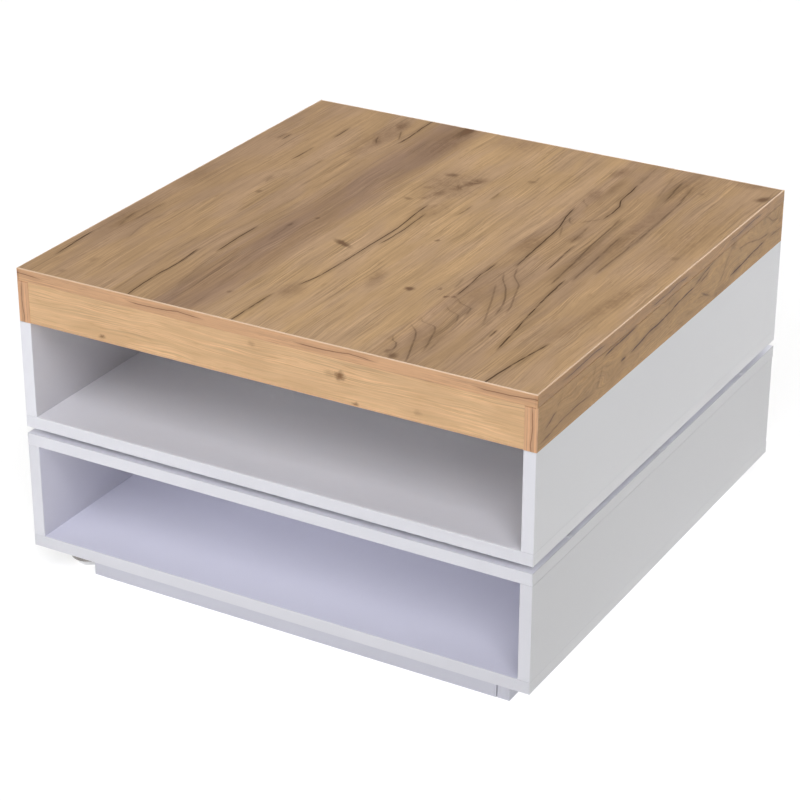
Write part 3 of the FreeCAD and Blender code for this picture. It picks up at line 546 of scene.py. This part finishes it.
# oak decor of the side aprons: places in mm below the top and from the front
sideOak = {
    "tone": (168, 136, 98), "frontShadeTint": (150, 119, 85), "length": halfWidth * 2, "frontShadeShare": 0.6,
    "frontShadeWeight": 0.35, "phase": 2.3, "strength": 0.8,
    "bend": (40, 120, 1.9, 0.5, 46.0), "waver": (16, 30, 4.4, 0.6, 3.0),
    "curl": (11, 24, 8.3, 1.6), "curlRidges": (14.0, 0.5), "curlPatches": (0.48, 0.66),
    # routes with their widths and weights
    "lines": [
        ([(22, 160), (20, 172), (20, 185), (19, 205), (17, 240), (17, 256)], 1.4, 0.95),
        (
            [(46, 232), (43, 250), (41, 270), (38, 292), (38, 312), (35, 350), (32, 372),
             (30, 410), (29, 424)],
            1.5, 0.95,
        ),
        ([(30, 412), (25, 430), (22, 446), (19, 462), (17, 480)], 1.4, 0.78),
        ([(30, 430), (29, 444), (27, 456), (22, 466)], 1.8, 0.65),
        ([(58, 524), (56, 545), (54, 572), (51, 602), (49, 646)], 1.4, 0.95),
        ([(45, 210), (45, 226)], 1.8, 0.91),
        ([(50, 14), (47, 26), (40, 44), (38, 50)], 1.3, 0.78),
        ([(62, 4), (60, 30), (55, 62), (54, 92), (54, 120), (57, 150)], 1.6, 0.59),
        ([(36, 46), (28, 57), (21, 62)], 2.0, 0.33),
        ([(35, 91), (28, 94), (19, 97)], 2.4, 0.33),
        ([(36, 136), (30, 142), (20, 145)], 2.4, 0.33),
        ([(52, 148), (42, 157), (30, 164)], 2.2, 0.39),
        ([(30, 545), (31, 580), (36, 602), (41, 625), (44, 660)], 1.5, 0.52),
        ([(44, 436), (54, 454), (62, 472)], 2.2, 0.59),
        ([(60, 486), (45, 506), (30, 520), (22, 530)], 2.0, 0.39),
        ([(14, 636), (22, 650), (30, 664), (34, 690)], 1.8, 0.45),
        ([(50, 650), (49, 676), (50, 704)], 1.4, 0.52),
        ([(7, 56), (8, 80), (7, 105), (5.5, 140), (7, 172)], 1.0, 0.78),
        ([(7, 288), (8.5, 310), (8, 345), (6, 368), (8, 404)], 1.0, 0.78),
        ([(7, 518), (8.5, 540), (7.5, 570), (6, 600), (7, 630)], 1.0, 0.78),
    ],
    "knots": [
        ((21, 345), (7, 20), 0.0, 0.35), ((19, 536), (7, 14), 0.0, 0.45), ((36, 690), (8, 9), 0.3, 0.4),
    ],
    "smudges": [
        ((64, 500), (10, 50), 0.0, 0.9), ((22, 360), (14, 34), 0.2, 0.6), ((22, 325), (10, 26), 0.0, 0.5),
        ((20, 536), (12, 26), 0.0, 0.7), ((56, 548), (8, 24), 0.0, 0.7), ((45, 20), (26, 40), 0.0, 0.45),
        ((62, 390), (10, 60), 0.0, 0.5), ((30, 430), (14, 30), 0.3, 0.5), ((40, 300), (10, 40), 0.0, 0.4),
        ((58, 200), (16, 44), 0.3, 0.4), ((60, 90), (16, 60), 0.0, 0.35), ((6, 90), (14, 120), 0.0, 0.4),
        ((6, 330), (14, 130), 0.0, 0.4), ((6, 560), (14, 120), 0.0, 0.4),
    ],
    "smudgeLeast": 0.45, "smudgeCurl": 0.5, "curlWeight": 0.26, "poreWeight": 0.2,
    "crackTint": (84, 67, 54), "knotTint": (112, 89, 70), "smudgeTint": (122, 97, 76),
    "relief": (0.45, 0.6, 0.25), "lineGloss": 0.05,
}


def sideFigure(finish, x, y, z, looks):
    # colour, pores and lines of a side's oak
    across = tableTop - z
    along = y * finish.maths("SIGN", x) + halfWidth
    bent = wavered(finish, across, along, looks["bend"])
    body, pores = oakGrain(finish, bent, along, looks["phase"], looks["strength"])
    # painted shade: darker and browner towards the front, as on the white sides
    frontShade = finish.smooth(along, looks["length"] * looks["frontShadeShare"], 0.0) * looks["frontShadeWeight"]
    tone = finish.mix(frontShade, paint(looks["tone"], "right"), paint(looks["frontShadeTint"], "right"))
    colour = finish.scaled(tone, body)
    curls = curled(finish, across, along, looks)
    shaken = ragged(finish, across, along)
    smudged = finish.spots(shaken, looks["smudges"]) * (looks["smudgeLeast"] + curls * looks["smudgeCurl"])
    smudged = finish.largest(smudged, curls * looks["curlWeight"])
    colour = finish.mix(smudged, colour, paint(looks["smudgeTint"], "right"))
    colour = finish.mix(pores * looks["poreWeight"], colour, paint(looks["smudgeTint"], "right"))
    colour = finish.mix(finish.spots(shaken, looks["knots"]), colour, paint(looks["knotTint"], "right"))
    wavy = wavered(finish, across, along, looks["waver"])
    dark = finish.strokes(wavy, along, looks["lines"], looks["length"]) * broken(finish, across, along)
    return finish.mix(dark, colour, paint(looks["crackTint"], "right")), pores, dark


def makeSideOak(looks):
    finish = Finish("sideOakDecor", {"Specular IOR Level": 0.35})
    x, y, z = finish.place()
    colour, pores, dark = sideFigure(finish, x, y, z, looks)
    finish.feed("Base Color", colour)
    oakSurface(finish, looks["relief"], pores, dark * looks["lineGloss"], dark)
    return finish


dress(makeSideOak(sideOak), "left_apron", "right_apron")
print("side aprons dressed")

# lighter oak of the front and back aprons: places in mm below the top and from the left
frontOak = {
    "tone": (214, 177, 135), "phase": 5.2, "strength": 0.8, "bend": (30, 140, 7.3, 0.5, 16.0),
    "knots": [
        ((36, 451), (9, 10), 0.0, 0.9), ((63, 122), (4, 7), 0.0, 0.8), ((67, 471), (4, 7), 0.0, 0.8),
        ((36, 438), (7, 12), 0.0, 0.3), ((24, 333), (6, 8), 0.0, 0.3), ((58, 552), (6, 8), 0.0, 0.3),
    ],
    "fineLines": (1.5, 34, 1.2, 2.0, 0.54, 0.70), "lineWeight": 0.4,
    "greyPatch": (16, 90, 4.1, 2.0, 0.46, 0.66), "greyWeight": 0.45, "poreWeight": 0.25,
    "knotTint": (122, 90, 64), "grainTint": (186, 146, 104), "greyTint": (196, 160, 120),
    "relief": (0.42, 0.6, 0.25), "bodyGloss": 0.04, "knotDepth": 0.4,
}


def makeFrontOak(looks):
    finish = Finish("frontOakDecor", {"Specular IOR Level": 0.35})
    x, y, z = finish.place()
    across = tableTop - z
    along = halfWidth - x * finish.maths("SIGN", y)
    bent = wavered(finish, across, along, looks["bend"])
    body, pores = oakGrain(finish, bent, along, looks["phase"], looks["strength"])
    colour = finish.scaled(paint(looks["tone"], "front"), body)
    lines = grainPatch(finish, bent, along, 0.0, looks["fineLines"], 0.6)
    greyer = grainPatch(finish, bent, along, 0.0, looks["greyPatch"])
    colour = finish.mix(greyer * looks["greyWeight"], colour, paint(looks["greyTint"], "front"))
    colour = finish.mix(lines * looks["lineWeight"], colour, paint(looks["grainTint"], "front"))
    colour = finish.mix(pores * looks["poreWeight"], colour, paint(looks["grainTint"], "front"))
    knots = finish.spots(ragged(finish, across, along), looks["knots"])
    colour = finish.mix(knots, colour, paint(looks["knotTint"], "front"))
    finish.feed("Base Color", colour)
    oakSurface(finish, looks["relief"], pores, body * looks["bodyGloss"], knots * looks["knotDepth"])
    return finish


dress(makeFrontOak(frontOak), "front_apron", "back_apron")
print("front and back aprons dressed")

# printed oak bands: the print repeats along the band, with one crack in each length
oakBand = {
    "tone": (204, 162, 124), "repeat": 231.0, "start": 157.0, "phase": 6.1, "strength": 0.6,
    "lines": [([(7, 0), (8.5, 20), (8, 45), (7, 62), (5.5, 76), (7, 100), (8, 114)], 0.9, 0.75)],
    "waver": (9, 16, 4.8, 0.6, 1.6), "poreWeight": 0.2, "crackTint": (112, 76, 58),
    "edgeHighlightTint": (222, 196, 168), "edgeHighlightRim": (0.91, 0.35), "edgeHighlightWeight": 0.8, "sideHighlightDrop": 0.35,
    "sideCast": (0.95, 0.89, 0.83, 1.0), "relief": (0.36, 0.5, 0.2), "bodyGloss": 0.03,
}


def bandPrint(finish, across, run, along, looks, reach):
    # colour of a printed band; the crack is drawn by its place along, the grain by the whole run
    body, pores = oakGrain(finish, across, run, looks["phase"], looks["strength"])
    colour = finish.scaled(paint(looks["tone"], "front"), body)
    wavy = wavered(finish, across, run, looks["waver"])
    line = finish.strokes(wavy, along, looks["lines"], reach)
    oakSurface(finish, looks["relief"], pores, body * looks["bodyGloss"], line)
    cracked = finish.largest(pores * looks["poreWeight"], line)
    return finish.mix(cracked, colour, paint(looks["crackTint"], "front"))


def makeOakBand(looks):
    finish = Finish("oakBandPrint", {"Specular IOR Level": 0.4})
    x, y, z = finish.place()
    run = x + halfWidth
    along = (run - looks["start"]) % looks["repeat"]
    colour = bandPrint(finish, tableTop - z, run, along, looks, looks["repeat"])
    # on the sides the print follows the apron's figure
    sideColour = sideFigure(finish, x, y, z, sideOak)[0]
    onSide = finish.above(abs(x), abs(y))
    colour = finish.mix(onSide, colour, finish.mix(1.0, sideColour, looks["sideCast"], "MULTIPLY"))
    # a pale line along the top edge: painted highlight on the rounded edge, with the pale glue line
    edgeHighlight = finish.smooth(z, *(tableTop - drop for drop in looks["edgeHighlightRim"]))
    edgeHighlight = edgeHighlight * (looks["edgeHighlightWeight"] - onSide * looks["sideHighlightDrop"])
    finish.feed("Base Color", finish.mix(edgeHighlight, colour, paint(looks["edgeHighlightTint"], "top")))
    return finish


dress(makeOakBand(oakBand), "top_edge_bands", "apron_bottom_bands")

# the same print on the upright ends of the side aprons: places in mm from the outside and above the floor
endBand = {
    "tone": (206, 163, 126), "lines": [([(6.0, 350), (7.5, 372), (5.5, 392), (7.0, 425)], 0.8, 0.75)],
    "phase": 3.4, "strength": 0.6, "waver": (9, 14, 2.9, 0.6, 1.6), "poreWeight": 0.2,
    "crackTint": (118, 78, 60), "relief": (0.36, 0.5, 0.2), "bodyGloss": 0.03,
}


def makeEndBand(looks):
    finish = Finish("oakEndPrint", {"Specular IOR Level": 0.4})
    x, y, z = finish.place()
    finish.feed("Base Color", bandPrint(finish, halfWidth - abs(x), z, z, looks, tableTop))
    return finish


dress(makeEndBand(endBand), "apron_end_bands")
print("oak bands dressed")

# white melamine: roughness and mm pitch of the peel by sort, then sort, tier, colour and painted light slope
# of each finish with its nodes. All are one white, painted lighter and darker by place: painted shade on the
# inner walls, the plinth and the lower bands, and painted lavender light and shade inside the lower tier; the
# slope is painted light, lighter towards the left of the front
whiteSorts = {"board": (0.42, 1.6), "band": (0.36, 1.1), "plinth": (0.45, 1.6)}
whiteCloud = {
    "pitch": 90, "shadeDrop": (4, 4, 3), "peelGloss": 0.1, "cloudGloss": 0.06, "relief": 0.12,
    "height": 0.0002,
}
whites = {
    "whiteMelamine": ("board", "upper", (249, 249, 252), 0.03, ["upper_floor_board", "upper_divider"]),
    "whiteSideMelamine": ("board", "upper", (225, 223, 226), 0.0, ["upper_left_side", "upper_right_side"]),
    "lowerLidMelamine": ("board", "lower", (250, 250, 254), 0.0, ["lower_top_board"]),
    "lowerMelamine": ("board", "lower", (221, 221, 232), 0.05, ["lower_divider", "lower_floor_board"]),
    "lowerSideMelamine": ("board", "lower", (213, 212, 220), 0.0, ["lower_left_side", "lower_right_side"]),
    "whitePostBand": ("band", "upper", (229, 229, 232), 0.05, ["upper_side_bands"]),
    "whiteEdgeBand": ("band", "upper", (223, 223, 226), 0.05, ["upper_floor_bands"]),
    "whiteTopBand": ("band", "lower", (223, 223, 226), 0.05, ["lower_top_bands"]),
    "lowerEdgeBand": ("band", "lower", (218, 218, 221), 0.05, ["lower_side_bands"]),
    "lowEdgeBand": ("band", "lower", (210, 210, 213), 0.05, ["lower_floor_bands"]),
    "plinthMelamine": (
        "plinth", None, (196, 196, 202), 0.05,
        ["plinth_left", "plinth_right", "plinth_front", "plinth_back", "plinth_end_bands"],
    ),
}
# painted shade on the outside of the sides, darker towards the front and on the lower tier, painted shadow on
# the upper face of the lid in the gap under the upper tier, and the seams of the boards, dark joints with
# painted shadow strongest at the front
outerSideShade = {"upper": (221, 221, 221), "lower": (208, 208, 208), "depth": 0.5, "paintedLightSlope": 0.05}
lidGapShadow = {"tone": (231, 231, 237), "depth": 0.5, "finish": "lowerLidMelamine"}
seamShadowLooks = {
    "levels": [level("lower_floor_board", 1), level("lower_top_board", 0), level("upper_floor_board", 1)],
    "depthInside": 16.2, "width": 0.35, "core": 0.4, "dark": 0.14, "least": 0.12, "fade": (-0.3, -1.0),
}


def makeWhite(name, sort, tier, tone, paintedLightSlope):
    finish = Finish(name, {"Specular IOR Level": 0.45})
    x, y, z = finish.place()
    roughness, pitch = whiteSorts[sort]
    cloud = finish.noise(*(place / whiteCloud["pitch"] for place in (x, y, z)), 3.0, 0.6)
    peel = finish.noise(x / pitch, y / pitch, z / pitch, 2.0, 0.5)
    shade = [v - drop for v, drop in zip(tone, whiteCloud["shadeDrop"])]
    colour = finish.mix(cloud, tint(*shade), tint(*tone))
    # painted light: lighter towards the left of the front
    if paintedLightSlope:
        # the same turned round at the back
        colour = finish.scaled(colour, 1 + x * finish.maths("SIGN", y) * (paintedLightSlope / halfWidth))
    # painted shadow on the lid's upper face, in the gap under the upper tier
    if name == lidGapShadow["finish"]:
        lidShadowMask = finish.above(z, level("lower_top_board", 1) - lidGapShadow["depth"])
        colour = finish.mix(lidShadowMask, colour, tint(*lidGapShadow["tone"]))
    if tier:
        # painted shade on the outside of the sides, darker towards the front and on the lower tier
        backward = y * finish.maths("SIGN", x) / halfWidth
        outerShadeMask = finish.above(abs(x), halfWidth - outerSideShade["depth"])
        outerShadeTone = finish.scaled(tint(*outerSideShade[tier]), 1 + backward * outerSideShade["paintedLightSlope"])
        colour = finish.mix(outerShadeMask, colour, outerShadeTone)
        # the seams: dark joints with painted shadow, strongest at the front
        seamShadow = 0.0
        for height in seamShadowLooks["levels"]:
            near = finish.smooth(abs(z - height), seamShadowLooks["width"], seamShadowLooks["width"] * seamShadowLooks["core"])
            seamShadow = finish.largest(seamShadow, near)
        seamShadow = seamShadow * finish.above(abs(x), halfWidth - seamShadowLooks["depthInside"])
        atFront = finish.smooth(backward, *seamShadowLooks["fade"])
        seamShadow = seamShadow * (seamShadowLooks["least"] + atFront * (1 - seamShadowLooks["least"]))
        colour = finish.scaled(colour, 1 - seamShadow * seamShadowLooks["dark"])
    finish.feed("Base Color", colour)
    peelGloss = (peel - 0.5) * whiteCloud["peelGloss"]
    finish.feed("Roughness", roughness + peelGloss + (cloud - 0.5) * whiteCloud["cloudGloss"])
    finish.bump(peel, whiteCloud["relief"], whiteCloud["height"])
    return finish


for name, (sort, tier, tone, paintedLightSlope, dressed) in whites.items():
    dress(makeWhite(name, sort, tier, tone, paintedLightSlope), *dressed)
print("white boards dressed")

# metal, plastic and rubber of the fittings, mottled at a pitch in mm
fittings = {
    "zincPlatedSteel": {
        "tone": (176, 178, 180), "shade": (150, 154, 160), "roughness": 0.34, "metal": 1.0, "pitch": 3.0,
        "nodes": [
            "upper_floor_side_screws", "upper_floor_divider_screws", "lower_floor_side_screws",
            "lower_floor_divider_screws", "lower_top_side_screws", "lower_top_divider_screws",
            "hood_block_upright_screws", "hood_block_side_screws", "hood_block_cross_screws",
            "plinth_block_upright_screws", "plinth_block_side_screws", "plinth_block_cross_screws",
            "joining_plates", "joining_plate_screws", "inner_ring_screws", "inner_ring_washers",
            "outer_ring_screws", "support_foot_studs",
        ],
    },
    "ringAluminium": {
        "tone": (198, 200, 203), "shade": (180, 182, 186), "roughness": 0.38, "metal": 1.0, "pitch": 2.0,
        "nodes": ["swivel_inner_ring", "swivel_outer_ring"],
    },
    "ballSteel": {
        "tone": (205, 206, 208), "shade": (190, 191, 194), "roughness": 0.12, "metal": 1.0, "pitch": 2.0,
        "nodes": ["swivel_balls"],
    },
    "capPlastic": {
        "tone": (236, 236, 238), "shade": (226, 226, 230), "roughness": 0.45, "metal": 0.0, "pitch": 0.8,
        "nodes": ["lower_top_screw_caps"],
    },
    "footRubber": {
        "tone": (246, 246, 246), "shade": (238, 238, 238), "roughness": 0.7, "metal": 0.0, "pitch": 0.6,
        "nodes": ["support_foot_pads"],
    },
}
fittingGrit = {"finer": 5, "blotchGloss": 0.16, "gritGloss": 0.08, "relief": 0.08, "height": 0.0001}


def makeFitting(name, looks):
    finish = Finish(name, {"Metallic": looks["metal"]})
    x, y, z = finish.place()
    pitch, finer = looks["pitch"], fittingGrit["finer"]
    blotch = finish.noise(x / pitch, y / pitch, z / pitch, 3.0, 0.6)
    grit = finish.noise(x * finer / pitch, y * finer / pitch, z * finer / pitch, 2.0, 0.5)
    finish.feed("Base Color", finish.mix(blotch, tint(*looks["shade"]), tint(*looks["tone"])))
    mottled = (blotch - 0.5) * fittingGrit["blotchGloss"] + (grit - 0.5) * fittingGrit["gritGloss"]
    finish.feed("Roughness", looks["roughness"] + mottled)
    finish.bump(grit, fittingGrit["relief"], fittingGrit["height"])
    return finish


for name, looks in fittings.items():
    dress(makeFitting(name, looks), *looks["nodes"])

# turned steel feet: height above the glide in mm, and radius as a share of the foot's own
turnedFoot = {
    "sides": 72, "smoothAngle": 25,
    "steps": [
        (0.0, 0.90), (0.3, 0.945), (1.0, 0.985), (2.0, 1.0), (7.0, 1.0), (7.4, 0.975), (8.6, 0.975),
        (9.0, 1.0), (34.0, 1.0), (34.4, 0.975), (35.6, 0.975), (36.0, 1.0), (42.4, 1.0), (43.4, 0.985),
        (44.0, 0.955),
    ],
    "steel": {
        "tone": (158, 154, 150), "shade": (118, 113, 109), "roughness": 0.24, "metal": 1.0, "pitch": 4.0,
    },
}


def turnFoot(looks, x, y, low, radius):
    # a disc drawn up step by step, as on a lathe
    rise, share = looks["steps"][0]
    bpy.ops.object.select_all(action="DESELECT")
    bpy.ops.mesh.primitive_circle_add(
        vertices=looks["sides"], radius=radius * share, fill_type="NGON", location=(x, y, low)
    )
    foot = bpy.context.object
    bpy.ops.object.mode_set(mode="EDIT")
    bpy.ops.mesh.select_all(action="SELECT")
    for nextRise, nextShare in looks["steps"][1:]:
        bpy.ops.mesh.extrude_region_move(TRANSFORM_OT_translate={"value": (0, 0, (nextRise - rise) / toMm)})
        grow = nextShare / share
        middle = (x, y, low + nextRise / toMm)
        bpy.ops.transform.resize(value=(grow, grow, 1), center_override=middle)
        rise, share = nextRise, nextShare
    bpy.ops.mesh.select_all(action="SELECT")
    bpy.ops.mesh.normals_make_consistent(inside=False)
    bpy.ops.object.mode_set(mode="OBJECT")
    return foot


footLow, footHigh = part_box("support_feet")
footRadius = (footHigh[0] - footLow[0]) / 2
feet = [
    turnFoot(turnedFoot, footLow[0] + footRadius, y, footLow[2], footRadius)
    for y in (footLow[1] + footRadius, footHigh[1] - footRadius)
]
for foot in feet:
    foot.select_set(True)
bpy.ops.object.join()
turnedFeet = bpy.context.object
turnedFeet.name = "turnedFeet"
bpy.ops.object.transform_apply(location=True, rotation=True, scale=True)
bpy.ops.object.shade_smooth_by_angle(angle=math.radians(turnedFoot["smoothAngle"]))
turnedFeet.data.materials.append(makeFitting("footSteel", turnedFoot["steel"]).material)
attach(turnedFeet, "base")
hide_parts("support_feet")
print("feet turned")

# raw wood of the dowels and corner blocks, grain upright: mm across and along
rawGrain = {"limits": (0.42, 0.68), "roughness": 0.62, "lineGloss": 0.14, "relief": 0.2, "height": 0.0002}
rawWoods = {
    "beechDowel": {
        "tone": (205, 170, 128), "line": (172, 134, 94), "across": 1.2, "along": 18.0,
        "nodes": ["top_side_dowels", "top_apron_dowels", "top_divider_dowels", "side_apron_dowels"],
    },
    "pineBlock": {
        "tone": (214, 182, 134), "line": (182, 138, 88), "across": 2.6, "along": 60.0,
        "nodes": ["hood_corner_blocks", "plinth_corner_blocks"],
    },
}


def makeRawWood(name, looks):
    finish = Finish(name, {})
    x, y, z = finish.place()
    grain = finish.noise(x / looks["across"], y / looks["across"], z / looks["along"], 3.0, 0.6, 0.6)
    lines = finish.smooth(grain, *rawGrain["limits"])
    finish.feed("Base Color", finish.mix(lines, tint(*looks["tone"]), tint(*looks["line"])))
    finish.feed("Roughness", rawGrain["roughness"] + lines * rawGrain["lineGloss"])
    finish.bump(lines, rawGrain["relief"], rawGrain["height"])
    return finish


for name, looks in rawWoods.items():
    dress(makeRawWood(name, looks), *looks["nodes"])
print("fittings dressed")

# pale floor: size in metres, pitch of its faint clouds in mm
floorLooks = {"size": 40.0, "tone": (253, 253, 251), "shade": (251, 251, 249), "pitch": 700}
bpy.ops.object.select_all(action="DESELECT")
bpy.ops.mesh.primitive_plane_add(size=floorLooks["size"], location=(0, 0, 0))
studioFloor = bpy.context.object
studioFloor.name = "studioFloor"
floorFinish = Finish("paleFloor", {"Roughness": 0.9, "Specular IOR Level": 0.1})
floorX, floorY, floorZ = floorFinish.place()
floorCloud = floorFinish.noise(floorX / floorLooks["pitch"], floorY / floorLooks["pitch"], floorZ, 2.0, 0.5)
floorTone = floorFinish.mix(floorCloud, tint(*floorLooks["shade"]), tint(*floorLooks["tone"]))
floorFinish.feed("Base Color", floorTone)
studioFloor.data.materials.append(floorFinish.material)

# soft studio light, all from far away so that it is even: the floor has a lamp of its own, with no shadow,
# one lamp reaches into the lower tier, and the lamp behind is kept off the top, where it would glare
studioLight = {
    "world": 0.08, "backdrop": 1.0,
    "lamps": {
        "overhead": {"strength": 1.9, "angle": 3, "place": (0, 90), "tone": (1.0, 1.0, 1.0), "on": "table"},
        "floorWash": {"strength": 1.9, "angle": 3, "place": (0, 90), "tone": (1.0, 1.0, 1.0), "on": "floor"},
        "front": {"strength": 1.35, "angle": 32, "place": (38, 45), "tone": (0.98, 0.98, 1.04), "on": "all"},
        "fill": {"strength": 0.85, "angle": 70, "place": (-12, 15), "tone": (0.97, 0.97, 1.06), "on": "all"},
        "inside": {
            "strength": 2.2, "angle": 20, "place": (15, 6), "tone": (1.0, 1.0, 1.03), "on": "lowerInside",
        },
        "behind": {"strength": 1.2, "angle": 40, "place": (195, 15), "tone": (1.0, 1.0, 1.02), "on": "sides"},
    },
    "pieces": {
        "floor": ("INCLUDE", [studioFloor]), "table": ("EXCLUDE", [studioFloor]),
        "sides": ("EXCLUDE", [studioFloor, nodes["top_board"]]),
        "lowerInside": ("INCLUDE", [nodes["lower_floor_board"], nodes["lower_divider"]]),
    },
}


def towards(azimuth, elevation):
    # from the table to a lamp or the camera: azimuth 0 is in front, 90 on the right
    turn, rise = math.radians(azimuth), math.radians(elevation)
    return Vector((math.sin(turn) * math.cos(rise), -math.cos(turn) * math.cos(rise), math.sin(rise)))


world = bpy.data.worlds.new("studioWorld")
bpy.context.scene.world = world
world.use_nodes = True
worldNodes, worldLinks = world.node_tree.nodes, world.node_tree.links
glow = worldNodes["Background"]
backdrop = worldNodes.new("ShaderNodeBackground")
for shade, strength in ((glow, studioLight["world"]), (backdrop, studioLight["backdrop"])):
    shade.inputs["Color"].default_value = (1.0, 1.0, 1.0, 1.0)
    shade.inputs["Strength"].default_value = strength
# what is seen past the floor is white, and brighter than the light that it gives
seenOrLit = worldNodes.new("ShaderNodeMixShader")
worldLinks.new(worldNodes.new("ShaderNodeLightPath").outputs["Is Camera Ray"], seenOrLit.inputs[0])
worldLinks.new(glow.outputs[0], seenOrLit.inputs[1])
worldLinks.new(backdrop.outputs[0], seenOrLit.inputs[2])
worldLinks.new(seenOrLit.outputs[0], worldNodes["World Output"].inputs["Surface"])
litOnly = {}
for name, (state, pieces) in studioLight["pieces"].items():
    litOnly[name] = bpy.data.collections.new(name + "Lit")
    for piece in pieces:
        litOnly[name].objects.link(piece)
    for linked in litOnly[name].collection_objects:
        linked.light_linking.link_state = state
for name, lamp in studioLight["lamps"].items():
    bpy.ops.object.light_add(type="SUN")
    sun = bpy.context.object
    sun.name = name
    sun.data.energy = lamp["strength"]
    sun.data.angle = math.radians(lamp["angle"])
    sun.data.color = lamp["tone"]
    sun.data.use_shadow = lamp["on"] != "floor"
    if lamp["on"] in litOnly:
        sun.light_linking.receiver_collection = litOnly[lamp["on"]]
    sun.rotation_mode = "QUATERNION"
    sun.rotation_quaternion = towards(*lamp["place"]).to_track_quat("Z", "Y")
bpy.context.scene.view_settings.view_transform = "Standard"
print("floor and light set")

# camera, solved from the corners of the table in the photo: angles in degrees, places in metres
cameraView = {
    "azimuth": 29.7426, "elevation": 26.0257, "roll": 0.1269, "distance": 3.2249, "height": 0.253,
    "right": -0.01789, "up": -0.05271, "focalPixels": 2532.33, "framePixels": 800, "sensor": 36.0,
}
azimuth, roll = math.radians(cameraView["azimuth"]), math.radians(cameraView["roll"])
back = towards(cameraView["azimuth"], cameraView["elevation"])
right = Vector((math.cos(azimuth), math.sin(azimuth), 0))
up = back.cross(right)
rolledRight = right * math.cos(roll) + up * math.sin(roll)
rolledUp = up * math.cos(roll) - right * math.sin(roll)
stand = Vector((0, 0, cameraView["height"])) + back * cameraView["distance"]
stand = stand + right * cameraView["right"] + up * cameraView["up"]
bpy.ops.object.camera_add()
camera = bpy.context.object
camera.name = "photoCamera"
camera.data.sensor_width = cameraView["sensor"]
camera.data.lens = cameraView["focalPixels"] / cameraView["framePixels"] * cameraView["sensor"]
camera.matrix_world = Matrix((
    (rolledRight.x, rolledUp.x, back.x, stand.x), (rolledRight.y, rolledUp.y, back.y, stand.y),
    (rolledRight.z, rolledUp.z, back.z, stand.z), (0, 0, 0, 1),
))
bpy.context.scene.camera = camera
print("camera set")
